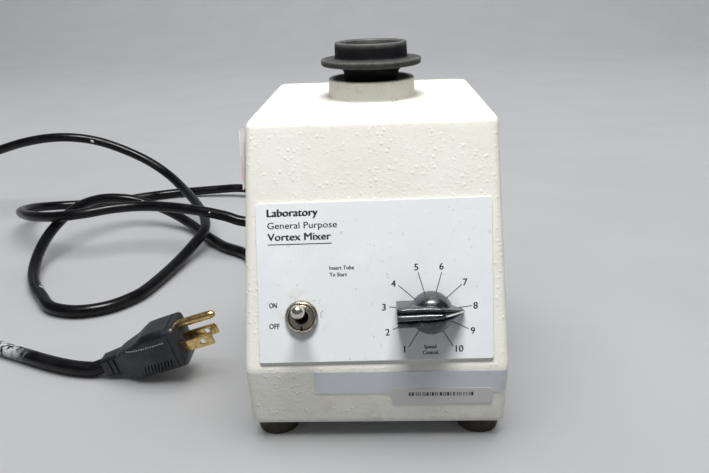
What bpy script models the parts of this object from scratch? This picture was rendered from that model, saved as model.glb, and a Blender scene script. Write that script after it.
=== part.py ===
"""Benchtop vortex mixer: a cast sloping-front housing with a sprung motor carriage inside.

Pressing the rubber cup lowers the carriage onto a start switch; the motor then turns an eccentric
crank, so the cup orbits without turning. Units are metres, +Z is up, the front faces -Y, and the
origin is at the middle of the bounding box (cord left out), on the surface the feet stand on.
"""

import math

import bmesh
import bpy
from mathutils import Matrix, Vector

MM = 0.001
GAP = 0.3 * MM  # clearance between faces that touch on the real object

# Housing: widths and depths of the one-piece casting
FRONT_Y = -75.3 * MM  # front edge of the vertical base band
BAND_TOP_Z = 39.5 * MM  # parting line where the sloping face begins
BODY_BOTTOM_Z = 8.9 * MM
BODY_TOP_Z = 154.0 * MM
BAND_HALF_W = 63.5 * MM
BOTTOM_HALF_W = 62.5 * MM
TOP_HALF_W = 59.7 * MM
SLOPE_SETBACK = 36.1 * MM  # how far the sloping face leans back over its height
BAND_SETBACK = 1.4 * MM  # draft of the band's front
BAND_DEPTH = 160.6 * MM
TOP_BACK_Y = FRONT_Y + 158.6 * MM
WALL = 3.5 * MM
CORNER_R = 4.0 * MM
TOP_EDGE_R = 4.0 * MM

# Head: collar, crank and rubber cup share a vertical axis
HEAD_Y = FRONT_Y + 98.6 * MM
COLLAR_OUTER_R = 23.6 * MM
COLLAR_HOLE_R = 20.8 * MM
COLLAR_TOP_Z = 164.5 * MM
ORBIT_RADIUS = 2.0 * MM
CUP_R = 19.5 * MM
CUP_TOP_Z = 183.4 * MM
FLANGE_R = 27.1 * MM
FLANGE_TOP_Z = 174.8 * MM

# Sloping face: controls are placed by u (to the right) and v (up the slope from the band edge)
PANEL_W = 111.4 * MM
PANEL_H = 76.4 * MM
PANEL_V0 = 4.8 * MM
PANEL_T = 0.9 * MM
TOGGLE_U = -34.8 * MM
TOGGLE_V = 26.5 * MM
DIAL_U = 26.5 * MM
DIAL_V = 27.8 * MM
TOGGLE_TILT = math.radians(14.0)
POINTER_TURN = math.radians(-88.0)  # pointer direction, measured from straight up the slope

# Base and motor stack, heights above the bench
BASE_Z = (9.2 * MM, 12.2 * MM)
FOOT_X = 51.0 * MM
FOOT_Y = (FRONT_Y + 14.5 * MM, FRONT_Y + 146.0 * MM)
CARRIAGE_Z = (34.0 * MM, 37.0 * MM)
CARRIAGE_HALF = 42.0 * MM
POST_OFFSET = 35.0 * MM
SHAFT_R = 4.0 * MM

# Power cord: round, three-core, resting on the bench
CORD_D = 8.8 * MM
CORD_REST = 4.6 * MM
CORD_EXIT = (-28.0 * MM, 24.0 * MM)  # x and z of the hole in the back wall
CORD_SPACES = 80
BEND_WEIGHT = 60.0 * MM  # how much closer the points are set where the cord bends
PLUG_FACE = (-110.8 * MM, -12.1 * MM, 21.1 * MM)
PLUG_HEADING = math.radians(2.0)
PLUG_PITCH = math.radians(16.0)  # the cord's set holds the plug's nose up off the bench

# Cord route on the bench: x, y in millimetres, and how high the strand is carried there
LOW = CORD_REST / MM
CORD_ROUTE = [
    (-28, 122.5, 24), (-28, 140, 22), (-30, 165, 13), (-37, 195, 6), (-48, 228, 5),
    (-64, 262, 5), (-86, 296, 5), (-112, 324, 5.5), (-143, 340, 9), (-176, 345, 7),
    (-214, 344, 5), (-244, 333, 5), (-276, 316, 5), (-306, 306, 6), (-328, 295, 8.5),
    (-340, 274, 13.5), (-336, 242, 20), (-308, 205, 28), (-276, 186, 33), (-250, 184, 36),
    (-228, 193, 37), (-205, 198, 37), (-177, 193, 37), (-149, 184, 36), (-127, 178, 33),
    (-111, 175, 29), (-82, 176, 26), (-54, 179, 25), (-27, 173, 22), (-3, 158, 15),
    (6, 136, 8), (2, 115, 5.5), (-13, 100, LOW), (-36, 96, LOW), (-58, 102, LOW), (-77, 115, LOW),
    (-94, 139, LOW),
    (-109, 163, LOW), (-131, 181, LOW), (-152, 207, 4.5), (-174, 233, 8), (-195, 248, 14),
    (-217, 257, 20), (-240, 257, 26), (-259, 245, 30), (-271, 224, 30), (-278, 200, 25),
    (-281, 176, 18), (-279, 152, 11), (-272, 128, 6), (-261, 107, LOW), (-247, 88, LOW),
    (-231, 69, LOW), (-210, 62, LOW), (-190, 68, LOW), (-176, 84, LOW), (-170, 101, LOW),
    (-162, 138, 6), (-155, 172, 10), (-151, 198, 15), (-158, 225, 18), (-172, 254, 21),
    (-191, 284, 26), (-212, 307, 35), (-234, 317, 47), (-258, 319, 59), (-281, 316, 69),
    (-303, 310, 75), (-327, 307, 76), (-355, 308, 72), (-387, 314, 63), (-421, 317, 52),
    (-447, 300, 38), (-460, 268, 23), (-459, 230, 11), (-446, 190, 4.4), (-420, 150, LOW),
    (-384, 112, LOW), (-342, 76, LOW), (-302, 47, LOW), (-267, 27, LOW), (-238.6, 12.8, LOW),
    (-217.5, 3, LOW), (-197, -6.4, LOW), (-181, -12, LOW), (-169.1, -14.1, 4.4), (-160.5, -13.8, 6.8),
]

SLOPE_RUN = math.hypot(SLOPE_SETBACK, BODY_TOP_Z - BAND_TOP_Z)
UP_SLOPE = Vector((0, SLOPE_SETBACK, BODY_TOP_Z - BAND_TOP_Z)) / SLOPE_RUN
OUTWARD = Vector((0, -UP_SLOPE.z, UP_SLOPE.y))


# ---------------------------------------------------------------------------------- helpers


def clear_scene():
    for obj in list(bpy.data.objects):
        bpy.data.objects.remove(obj, do_unlink=True)


def make_material(name, colour, roughness, metallic=0.0):
    material = bpy.data.materials.new(name)
    material.use_nodes = True
    shader = material.node_tree.nodes["Principled BSDF"]
    shader.inputs["Base Color"].default_value = (*colour, 1.0)
    shader.inputs["Roughness"].default_value = roughness
    shader.inputs["Metallic"].default_value = metallic
    return material


def slope_frame(u, v, twist=0.0):
    """Frame on the sloping face: X to the right, Y up the slope, Z outward."""
    centre = Vector((u, FRONT_Y, BAND_TOP_Z)) + UP_SLOPE * v
    axes = Matrix((Vector((1, 0, 0)), UP_SLOPE, OUTWARD)).transposed().to_4x4()
    return Matrix.Translation(centre) @ axes @ Matrix.Rotation(twist, 4, "Z")


def add_object(name, mesh_data, material, frame=None, smooth_deg=35):
    """Turn a bmesh into a named object, smooth except at edges sharper than smooth_deg."""
    mesh = bpy.data.meshes.new(name)
    bmesh.ops.recalc_face_normals(mesh_data, faces=mesh_data.faces)
    mesh_data.to_mesh(mesh)
    mesh_data.free()
    mesh.shade_smooth()
    mesh.set_sharp_from_angle(angle=math.radians(smooth_deg))
    mesh.materials.append(material)
    obj = bpy.data.objects.new(name, mesh)
    bpy.context.collection.objects.link(obj)
    obj.matrix_world = frame or Matrix.Identity(4)
    return obj


def lofted(rings, closed_ring=False):
    """Skin a list of equal-length point rings; caps both ends, or joins last to first."""
    shape = bmesh.new()
    loops = [[shape.verts.new(point) for point in ring] for ring in rings]
    count = len(rings[0])
    pairs = list(zip(loops, loops[1:]))
    if closed_ring:
        pairs.append((loops[-1], loops[0]))
    for lower, upper in pairs:
        for i in range(count):
            j = (i + 1) % count
            shape.faces.new((lower[i], lower[j], upper[j], upper[i]))
    if not closed_ring:
        shape.faces.new(list(reversed(loops[0])))
        shape.faces.new(loops[-1])
    return shape


def turned(profile, centre=(0, 0), segments=32, has_bore=False):
    """Solid of revolution about Z from (radius, z) pairs, bottom to top on the outside."""
    rings = []
    for radius, z in profile:
        ring = []
        for i in range(segments):
            angle = 2 * math.pi * i / segments
            ring.append((centre[0] + radius * math.cos(angle), centre[1] + radius * math.sin(angle), z))
        rings.append(ring)
    return lofted(rings, closed_ring=has_bore)


def tube_profile(inner, outer, low, high):
    return [(inner, low), (outer, low), (outer, high), (inner, high)]


def block(low, high):
    """Box between two corners."""
    (x0, y0, z0), (x1, y1, z1) = low, high
    ring = [(x0, y0), (x1, y0), (x1, y1), (x0, y1)]
    return lofted([[(x, y, z) for x, y in ring] for z in (z0, z1)])


def prism(outline, low, high):
    """Straight extrusion of an (x, y) outline."""
    return lofted([[(x, y, z) for x, y in outline] for z in (low, high)])


def rounded_rectangle(x0, x1, y0, y1, radius, steps=4):
    """Points of a rectangle with arc corners, anticlockwise from the right-hand front corner."""
    corners = [
        (x1 - radius, y0 + radius, -90),
        (x1 - radius, y1 - radius, 0),
        (x0 + radius, y1 - radius, 90),
        (x0 + radius, y0 + radius, 180),
    ]
    points = []
    for cx, cy, start in corners:
        for i in range(steps + 1):
            angle = math.radians(start + 90 * i / steps)
            points.append((cx + radius * math.cos(angle), cy + radius * math.sin(angle)))
    return points


def boolean(obj, shapes, operation):
    """Union or cut with guide shapes given as (bmesh, frame) pairs."""
    for index, (shape, frame) in enumerate(shapes):
        guide = add_object(f"{obj.name}_{operation.lower()}_{index}", shape, obj.data.materials[0], frame)
        guide.hide_render = True
        guide.display_type = "WIRE"
        modifier = obj.modifiers.new(guide.name, "BOOLEAN")
        modifier.operation = operation
        modifier.object = guide


def bevel(obj, width, segments=2):
    modifier = obj.modifiers.new("edge_rounding", "BEVEL")
    modifier.width = width
    modifier.segments = segments
    modifier.limit_method = "ANGLE"
    modifier.angle_limit = math.radians(40)


# ---------------------------------------------------------------------------------- housing


def body_section(z, inset=0.0):
    """Half width, front and back of the casting's outside at height z, moved in by inset."""
    if z <= BAND_TOP_Z:
        t = (BAND_TOP_Z - z) / (BAND_TOP_Z - BODY_BOTTOM_Z)
        half = BAND_HALF_W + t * (BOTTOM_HALF_W - BAND_HALF_W)
        front = FRONT_Y + t * BAND_SETBACK
        back = FRONT_Y + BAND_DEPTH - t * BAND_SETBACK
    else:
        t = (z - BAND_TOP_Z) / (BODY_TOP_Z - BAND_TOP_Z)
        half = BAND_HALF_W + t * (TOP_HALF_W - BAND_HALF_W)
        front = FRONT_Y + t * SLOPE_SETBACK
        back = FRONT_Y + BAND_DEPTH + t * (TOP_BACK_Y - FRONT_Y - BAND_DEPTH)
    return half - inset, front + inset, back - inset


def body_ring(z, inset=0.0, radius=CORNER_R):
    half, front, back = body_section(z, inset)
    corner = max(radius - inset, 1.0 * MM)
    return [(x, y, z) for x, y in rounded_rectangle(-half, half, front, back, corner)]


def make_housing(paint):
    edge_steps = 4
    rings = [body_ring(z, WALL) for z in (BODY_TOP_Z - WALL, BAND_TOP_Z, BODY_BOTTOM_Z)]
    rings += [body_ring(BODY_BOTTOM_Z + 0.6 * MM, 0.0), body_ring(BAND_TOP_Z)]
    rings.insert(3, body_ring(BODY_BOTTOM_Z, 0.6 * MM))
    for i in range(edge_steps + 1):
        angle = math.radians(90 * i / edge_steps)
        inset = TOP_EDGE_R * (1 - math.cos(angle))
        rings.append(body_ring(BODY_TOP_Z - TOP_EDGE_R * (1 - math.sin(angle)), inset, CORNER_R + inset))
    housing = add_object("housing", lofted(rings), paint)

    # Collar: fillet at its foot, rounded lip, standing on the roof
    fillet = 2.0 * MM
    lip = 1.3 * MM
    collar = [(COLLAR_OUTER_R + fillet, BODY_TOP_Z - 1.5 * MM), (COLLAR_OUTER_R + fillet, BODY_TOP_Z)]
    collar += [(COLLAR_OUTER_R + 0.6 * MM, BODY_TOP_Z + 0.6 * MM), (COLLAR_OUTER_R, BODY_TOP_Z + fillet)]
    collar += [(COLLAR_OUTER_R, COLLAR_TOP_Z - lip), (COLLAR_OUTER_R - 0.4 * MM, COLLAR_TOP_Z - 0.4 * MM)]
    collar += [(COLLAR_OUTER_R - lip, COLLAR_TOP_Z)]
    unions = [(turned(collar, (0, HEAD_Y), 48), None)]
    for x in (-1, 1):
        for front in (True, False):
            inner_x = x * (FOOT_X - 6.5 * MM)
            outer_x = x * (BOTTOM_HALF_W - 1.5 * MM)
            near = FRONT_Y + 3.2 * MM if front else FOOT_Y[1] - 6.5 * MM
            far = FOOT_Y[0] + 6.5 * MM if front else FRONT_Y + BAND_DEPTH - 3.2 * MM
            low = (min(inner_x, outer_x), near, BASE_Z[1] + GAP)
            high = (max(inner_x, outer_x), far, 30.0 * MM)
            unions.append((block(low, high), None))
    boolean(housing, unions, "UNION")

    cuts = [
        (turned([(COLLAR_HOLE_R, 140 * MM), (COLLAR_HOLE_R, 170 * MM)], (0, HEAD_Y), 48), None),
        (turned([(6.3 * MM, -8 * MM), (6.3 * MM, 4 * MM)], segments=24), slope_frame(TOGGLE_U, TOGGLE_V)),
        (turned([(4.9 * MM, -8 * MM), (4.9 * MM, 4 * MM)], segments=24), slope_frame(DIAL_U, DIAL_V)),
    ]
    back_frame = Matrix.Translation((CORD_EXIT[0], FRONT_Y + BAND_DEPTH, CORD_EXIT[1]))
    back_frame = back_frame @ Matrix.Rotation(math.radians(-90), 4, "X")
    cuts.append((turned([(7.0 * MM, -9 * MM), (7.0 * MM, 6 * MM)], segments=24), back_frame))
    for x in (-FOOT_X, FOOT_X):
        for y in FOOT_Y:
            cuts.append((turned([(2.3 * MM, 8 * MM), (2.3 * MM, 26 * MM)], (x, y), 12), None))
    boolean(housing, cuts, "DIFFERENCE")
    return housing


def make_front_panel(aluminium):
    outline = rounded_rectangle(-PANEL_W / 2, PANEL_W / 2, 0, PANEL_H, 1.0 * MM, 3)
    plate = prism(outline, GAP, GAP + PANEL_T)
    panel = add_object("front_panel", plate, aluminium, slope_frame(0, PANEL_V0))
    cuts = []
    for u, v, radius in ((TOGGLE_U, TOGGLE_V, 6.3 * MM), (DIAL_U, DIAL_V, 4.9 * MM)):
        cuts.append((turned([(radius, -3 * MM), (radius, 4 * MM)], segments=24), slope_frame(u, v)))
    boolean(panel, cuts, "DIFFERENCE")


def make_base(steel, iron, rubber):
    half, front, back = body_section(BODY_BOTTOM_Z, WALL + 0.4 * MM)
    outline = rounded_rectangle(-half, half, front, back, 1.5 * MM, 2)
    plate = add_object("base_plate", prism(outline, *BASE_Z), steel)
    holes = []
    for y_index, y in enumerate(FOOT_Y):
        for side, x in (("left", -FOOT_X), ("right", FOOT_X)):
            place = f"{('front', 'rear')[y_index]}_{side}"
            holes.append((turned([(2.4 * MM, 5 * MM), (2.4 * MM, 15 * MM)], (x, y), 12), None))
            foot = [(2.4 * MM, 4.6 * MM), (4.6 * MM, 4.6 * MM), (4.6 * MM, 0), (10.0 * MM, 0)]
            foot += [(10.4 * MM, 1.2 * MM), (9.4 * MM, BODY_BOTTOM_Z - 1.0 * MM)]
            foot += [(8.6 * MM, BODY_BOTTOM_Z), (2.4 * MM, BODY_BOTTOM_Z)]
            add_object(f"foot_{place}", turned(foot, (x, y), 28, has_bore=True), rubber)
            screw = [(4.1 * MM, 1.8 * MM), (4.1 * MM, 4.2 * MM), (2.0 * MM, 4.3 * MM), (2.0 * MM, 24 * MM)]
            add_object(f"base_screw_{place}", turned(screw, (x, y), 12), steel)
    boolean(plate, holes, "DIFFERENCE")
    add_object("ballast_block", block((-40 * MM, -50 * MM, 12.5 * MM), (40 * MM, -19 * MM, 33 * MM)), iron)


# ---------------------------------------------------------------------------------- carriage


def coil_spring(name, centre, low, high, material):
    """Open-ended compression spring swept as a closed tube."""
    wire_r, coil_r, turns, per_turn, sides = 0.8 * MM, 5.2 * MM, 5, 10, 5
    rings = []
    for i in range(turns * per_turn + 1):
        t = i / (turns * per_turn)
        angle = 2 * math.pi * turns * t
        z = low + wire_r + t * (high - low - 2 * wire_r)
        radial = Vector((math.cos(angle), math.sin(angle), 0))
        middle = Vector((*centre, z)) + radial * coil_r
        ring = []
        for k in range(sides):
            phase = 2 * math.pi * k / sides
            rise = Vector((0, 0, wire_r * math.sin(phase)))
            ring.append(middle + radial * (wire_r * math.cos(phase)) + rise)
        rings.append(ring)
    add_object(name, lofted(rings), material, smooth_deg=70)


def make_carriage(steel, aluminium, bright, copper):
    half = CARRIAGE_HALF
    outline = rounded_rectangle(-half, half, HEAD_Y - half, HEAD_Y + half, 5 * MM, 3)
    plate = add_object("motor_plate", prism(outline, *CARRIAGE_Z), steel)
    holes = [(turned([(9 * MM, 30 * MM), (9 * MM, 40 * MM)], (0, HEAD_Y), 20), None)]
    for row, dy in (("front", -POST_OFFSET), ("rear", POST_OFFSET)):
        for side, dx in (("left", -POST_OFFSET), ("right", POST_OFFSET)):
            centre = (dx, HEAD_Y + dy)
            holes.append((turned([(3.5 * MM, 30 * MM), (3.5 * MM, 40 * MM)], centre, 16), None))
            post = [(3.0 * MM, BASE_Z[1] + GAP), (3.0 * MM, CARRIAGE_Z[1] + GAP)]
            post += [(5.5 * MM, CARRIAGE_Z[1] + GAP), (5.5 * MM, CARRIAGE_Z[1] + 3.0 * MM)]
            add_object(f"guide_post_{row}_{side}", turned(post, centre, 16), bright)
            coil_spring(f"spring_{row}_{side}", centre, BASE_Z[1] + 0.6 * MM, CARRIAGE_Z[0] - GAP, bright)
    boolean(plate, holes, "DIFFERENCE")

    # Motor frame: two brackets, each a plate with four legs reaching the stator stack
    leg = 4.0 * MM
    reach = 30.0 * MM
    stack = (49.0 * MM, 76.0 * MM)
    levels = (
        ("motor_lower_bracket", 37.3 * MM, 42.3 * MM, 42.0 * MM, stack[0] - GAP),
        ("motor_upper_bracket", 83.0 * MM, 88.0 * MM, stack[1] + GAP, 83.3 * MM),
    )
    for name, low, high, leg_low, leg_high in levels:
        outline = rounded_rectangle(-reach, reach, HEAD_Y - reach, HEAD_Y + reach, 3 * MM, 2)
        bracket = add_object(name, prism(outline, low, high), aluminium)
        legs = []
        for dx in (-1, 1):
            for dy in (-1, 1):
                cx, cy = dx * (reach - leg), HEAD_Y + dy * (reach - leg)
                legs.append((block((cx - leg, cy - leg, leg_low), (cx + leg, cy + leg, leg_high)), None))
        boolean(bracket, legs, "UNION")
        hole = turned([(8.3 * MM, low - 5 * MM), (8.3 * MM, high + 5 * MM)], (0, HEAD_Y), 24)
        boolean(bracket, [(hole, None)], "DIFFERENCE")
    seats = (("lower_bearing", 37.6 * MM, 42.0 * MM), ("upper_bearing", 83.3 * MM, 87.7 * MM))
    for name, low, high in seats:
        race = tube_profile(4.2 * MM, 8.0 * MM, low, high)
        add_object(name, turned(race, (0, HEAD_Y), 24, has_bore=True), bright)

    outline = rounded_rectangle(-32 * MM, 32 * MM, HEAD_Y - 32 * MM, HEAD_Y + 32 * MM, 2 * MM, 2)
    stator = add_object("stator", prism(outline, *stack), steel)
    bore = turned([(19.4 * MM, 40 * MM), (19.4 * MM, 90 * MM)], (0, HEAD_Y), 32)
    boolean(stator, [(bore, None)], "DIFFERENCE")
    for name, side in (("field_coil_left", -1), ("field_coil_right", 1)):
        x0, x1 = sorted((side * 32.4 * MM, side * 43.0 * MM))
        winding = block((x0, HEAD_Y - 20 * MM, 52 * MM), (x1, HEAD_Y + 20 * MM, 73 * MM))
        bevel(add_object(name, winding, copper), 3 * MM)


def fan_outline(blades=8, hub=9.0 * MM, tip=26.0 * MM):
    """Radius and angle of a paddle fan's edge: each blade is three of its eight steps wide."""
    points = []
    steps = 6
    for i in range(blades * steps):
        radius = tip if i % steps < 3 else hub
        angle = 2 * math.pi * i / (blades * steps)
        points.append((radius * math.cos(angle), HEAD_Y + radius * math.sin(angle)))
    return points


def make_rotor(steel, bright, plastic, iron):
    core = tube_profile(4.3 * MM, 19.0 * MM, 49 * MM, 76 * MM)
    add_object("rotor", turned(core, (0, HEAD_Y), 32, True), steel)
    shaft = [(SHAFT_R, 36 * MM), (SHAFT_R, 127 * MM)]
    add_object("motor_shaft", turned(shaft, (0, HEAD_Y), 20), bright)
    outline = fan_outline()
    count = len(outline)
    bore = 4.3 * MM
    turns = [2 * math.pi * i / count for i in range(count)]
    inner = [(bore * math.cos(angle), HEAD_Y + bore * math.sin(angle)) for angle in turns]
    low, high = 92 * MM, 101 * MM
    loops = [(inner, low), (outline, low), (outline, high), (inner, high)]
    rings = [[(x, y, z) for x, y in points] for points, z in loops]
    add_object("cooling_fan", lofted(rings, closed_ring=True), plastic)

    # Crank: counterweight disc with a wedge cut away on the pin's side, and an offset pin
    pin_y = HEAD_Y - ORBIT_RADIUS
    wheel = turned([(19 * MM, 122 * MM), (19 * MM, 130 * MM)], (0, HEAD_Y), 40)
    disc = add_object("eccentric_crank", wheel, iron)
    pin = [(4.5 * MM, 129 * MM), (4.5 * MM, 142 * MM), (2.5 * MM, 142 * MM), (2.5 * MM, 163 * MM)]
    boolean(disc, [(turned(pin, (0, pin_y), 20), None)], "UNION")
    relief = block((-20 * MM, HEAD_Y - 20 * MM, 121 * MM), (20 * MM, HEAD_Y - 8 * MM, 131 * MM))
    blind = turned([(SHAFT_R + GAP, 121 * MM), (SHAFT_R + GAP, 127.4 * MM)], (0, HEAD_Y), 20)
    boolean(disc, [(relief, None), (blind, None)], "DIFFERENCE")


def make_head(rubber, plastic, bronze):
    """Orbiting parts: bush, hub and rubber cup, all centred on the crank pin."""
    centre = (0, HEAD_Y - ORBIT_RADIUS)
    bush = tube_profile(2.8 * MM, 5.2 * MM, 142.4 * MM, 162 * MM)
    add_object("crank_bush", turned(bush, centre, 20, True), bronze)
    hub = [(5.5 * MM, 164 * MM), (5.5 * MM, 143.5 * MM), (8.0 * MM, 143.5 * MM), (8.0 * MM, 168 * MM)]
    add_object("cup_hub", turned(hub, centre, 24), plastic)

    stem_r, neck_r = 11.5 * MM, 14.2 * MM
    wall = 3.4 * MM
    dish_floor = 176.5 * MM
    profile = [(8.3 * MM, 168.3 * MM), (8.3 * MM, 146 * MM), (stem_r, 146 * MM), (neck_r, COLLAR_TOP_Z)]
    profile += [(15.3 * MM, 168.6 * MM), (17.8 * MM, 170.4 * MM)]
    profile += [(FLANGE_R - 0.6 * MM, FLANGE_TOP_Z - 3.4 * MM)]
    profile += [(FLANGE_R, FLANGE_TOP_Z - 2.8 * MM), (FLANGE_R, FLANGE_TOP_Z - 0.7 * MM)]
    profile += [(FLANGE_R - 0.7 * MM, FLANGE_TOP_Z), (CUP_R, FLANGE_TOP_Z + 0.4 * MM)]
    profile += [(CUP_R, CUP_TOP_Z - 1.2 * MM), (CUP_R - 0.5 * MM, CUP_TOP_Z - 0.3 * MM)]
    profile += [(CUP_R - 1.5 * MM, CUP_TOP_Z), (CUP_R - 2.7 * MM, CUP_TOP_Z - 0.5 * MM)]
    profile += [(CUP_R - wall, CUP_TOP_Z - 1.6 * MM), (11.5 * MM, dish_floor + 1.2 * MM)]
    profile += [(5.0 * MM, dish_floor)]
    add_object("rubber_cup", turned(profile, centre, 40), rubber)


# ---------------------------------------------------------------------------------- switches


def make_start_switch(plastic, steel, red):
    """Snap switch under the carriage, pressed when the carriage goes down."""
    y = HEAD_Y + 27 * MM
    stand = block((-13 * MM, y - 5 * MM, 12.5 * MM), (13 * MM, y + 5 * MM, 17 * MM))
    bevel(add_object("switch_bracket", stand, steel), 0.5 * MM, 1)
    case = block((-11 * MM, y - 4 * MM, 17.3 * MM), (11 * MM, y + 4 * MM, 30 * MM))
    body = add_object("start_switch", case, plastic)
    hole = turned([(2.0 * MM, 23.4 * MM), (2.0 * MM, 34 * MM)], (0, y), 16)
    boolean(body, [(hole, None)], "DIFFERENCE")
    button = [(1.6 * MM, 25.8 * MM), (1.6 * MM, 33.2 * MM), (1.2 * MM, 33.7 * MM)]
    add_object("start_button", turned(button, (0, y), 16), red)


def make_toggle(bright, phenolic):
    frame = slope_frame(TOGGLE_U, TOGGLE_V)
    case = block((-7 * MM, -14 * MM, -26 * MM), (7 * MM, 14 * MM, -WALL - GAP))
    body = add_object("toggle_switch", case, phenolic, frame)
    bushing = [(5.9 * MM, -WALL - 1.5 * MM), (5.9 * MM, 3.3 * MM), (5.5 * MM, 3.7 * MM)]
    boolean(body, [(turned(bushing, segments=28), frame)], "UNION")
    socket = [(3.4 * MM, -6.4 * MM), (3.4 * MM, 3.0 * MM), (3.7 * MM, 6 * MM)]
    boolean(body, [(turned(socket, segments=24), frame)], "DIFFERENCE")
    face = GAP + PANEL_T + GAP
    nut = [(6.2 * MM, face), (7.8 * MM, face), (7.8 * MM, face + 1.3 * MM), (7.0 * MM, face + 2.2 * MM)]
    nut += [(6.2 * MM, face + 2.2 * MM)]
    add_object("toggle_nut", turned(nut, segments=32, has_bore=True), bright, frame)

    # Bat lever: ball pivot inside the bushing, shaft widening to a rounded end
    lever = [(1.0 * MM, -2.8 * MM), (2.4 * MM, -1.7 * MM), (2.9 * MM, 0), (2.4 * MM, 1.7 * MM)]
    lever += [(1.5 * MM, 2.9 * MM), (1.6 * MM, 6 * MM), (2.6 * MM, 15 * MM), (3.2 * MM, 19.0 * MM)]
    end_r = 3.2 * MM
    for i in range(1, 5):
        angle = math.radians(90 * i / 5)
        lever.append((end_r * math.cos(angle), 19.6 * MM + end_r * math.sin(angle)))
    pivot = frame @ Matrix.Translation((0, 0, -2.6 * MM)) @ Matrix.Rotation(-TOGGLE_TILT, 4, "X")
    add_object("toggle_lever", turned(lever, segments=24), bright, pivot)


def pointer_outline(back, tip, half_width, nose_start):
    """Plan of the pointer bar, +Y towards the tip: straight sides, then curved in to a point."""
    side = [(half_width, -back), (half_width, nose_start)]
    steps = 5
    for i in range(1, steps):
        t = i / steps
        side.append((half_width * (1 - t ** 1.6), nose_start + (tip - nose_start) * t))
    tip_half = 0.35 * MM
    side.append((tip_half, tip))
    return side + [(-x, y) for x, y in reversed(side)]


def make_speed_control(gloss, bright, phenolic):
    frame = slope_frame(DIAL_U, DIAL_V)
    pot = [(4.5 * MM, -WALL - 1.4 * MM), (4.5 * MM, 5.4 * MM)]
    can = turned([(12 * MM, -15 * MM), (12 * MM, -WALL - GAP)], segments=32)
    body = add_object("potentiometer", can, phenolic, frame)
    boolean(body, [(turned(pot, segments=24), frame)], "UNION")
    boolean(body, [(turned([(3.3 * MM, -13 * MM), (3.3 * MM, 8 * MM)], segments=20), frame)], "DIFFERENCE")
    face = GAP + PANEL_T + GAP
    nut = tube_profile(5.5 * MM, 6.9 * MM, face, face + 2.2 * MM)
    add_object("potentiometer_nut", turned(nut, segments=6, has_bore=True), bright, frame, smooth_deg=20)
    pointer = slope_frame(DIAL_U, DIAL_V, POINTER_TURN)
    spindle = turned([(3.0 * MM, -12.4 * MM), (3.0 * MM, 13 * MM)], segments=20)
    add_object("potentiometer_shaft", spindle, bright, pointer)

    # Pointer knob: domed hub under a tapering bar
    low = face + 0.3 * MM
    hub = [(10.2 * MM, low), (10.2 * MM, low + 1.2 * MM), (9.9 * MM, 5.2 * MM), (8.9 * MM, 8.4 * MM)]
    hub += [(7.0 * MM, 11.2 * MM), (4.0 * MM, 13.2 * MM)]
    knob = add_object("speed_knob", turned(hub, segments=36), gloss, pointer)
    levels = ((low, 0.8 * MM), (8 * MM, 0.1 * MM), (15.4 * MM, -0.9 * MM), (16.2 * MM, -1.5 * MM))
    rings = []
    for z, spread in levels:
        tail, tip = 16.2 * MM + 0.15 * spread, 15.6 * MM + 0.3 * spread
        plan = pointer_outline(tail, tip, 5.2 * MM + spread, -3 * MM)
        rings.append([(x, y, z) for x, y in plan])
    boolean(knob, [(lofted(rings), pointer)], "UNION")
    recess = turned([(7.4 * MM, 0), (7.4 * MM, 6.2 * MM)], segments=24)
    bore = turned([(3.3 * MM, 3 * MM), (3.3 * MM, 13.4 * MM)], segments=20)
    sideways = Matrix.Rotation(math.radians(-90), 4, "X")
    screw_frame = pointer @ Matrix.Translation((0, -20 * MM, 9.4 * MM)) @ sideways
    screw_hole = turned([(1.9 * MM, 0), (1.9 * MM, 18 * MM)], segments=12)
    nose = [(4.8 * MM, 18 * MM), (4.8 * MM, 16.1 * MM), (9.5 * MM, 12.6 * MM), (13.0 * MM, 8.4 * MM)]
    nose += [(15.8 * MM, 3.8 * MM), (18 * MM, 3.8 * MM), (18 * MM, 18 * MM)]
    nose_cut = lofted([[(x, y, z) for y, z in nose] for x in (-8 * MM, 8 * MM)])
    cutters = [(recess, pointer), (bore, pointer), (screw_hole, screw_frame), (nose_cut, pointer)]
    boolean(knob, cutters, "DIFFERENCE")
    set_screw = turned([(1.5 * MM, 11.2 * MM), (1.5 * MM, 16.6 * MM)], segments=12)
    add_object("knob_set_screw", set_screw, bright, screw_frame)


def make_electronics(board_green, aluminium, can, phenolic):
    ledge = rounded_rectangle(-38 * MM, 38 * MM, -27.5 * MM, -19.0 * MM, 1 * MM, 1)
    foot = add_object("board_bracket", prism(ledge, 33.3 * MM, 35.3 * MM), aluminium)
    upright = block((-38 * MM, -27.5 * MM, 34 * MM), (38 * MM, -25.5 * MM, 62 * MM))
    boolean(foot, [(upright, None)], "UNION")
    board = block((-40 * MM, -29.4 * MM, 40 * MM), (40 * MM, -27.8 * MM, 100 * MM))
    add_object("control_board", board, board_green)
    forward = Matrix.Rotation(math.radians(90), 4, "X")
    cap_frame = Matrix.Translation((20 * MM, -29.7 * MM, 88 * MM)) @ forward
    sleeve = turned([(8 * MM, 0), (8 * MM, 15 * MM), (7.2 * MM, 15.6 * MM)], segments=24)
    add_object("capacitor", sleeve, can, cap_frame)
    spreader = block((-30 * MM, -27.5 * MM, 72 * MM), (0, -19.5 * MM, 98 * MM))
    sink = add_object("heat_sink", spreader, aluminium)
    slots = []
    for i in range(4):
        x = (-26.5 + 6.5 * i) * MM
        slots.append((block((x, -25 * MM, 71 * MM), (x + 3.5 * MM, -18 * MM, 99 * MM)), None))
    boolean(sink, slots, "DIFFERENCE")
    package = block((-20 * MM, -34.2 * MM, 78 * MM), (-10 * MM, -29.7 * MM, 93 * MM))
    add_object("triac", package, phenolic)


# ---------------------------------------------------------------------------------- power cord


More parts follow.
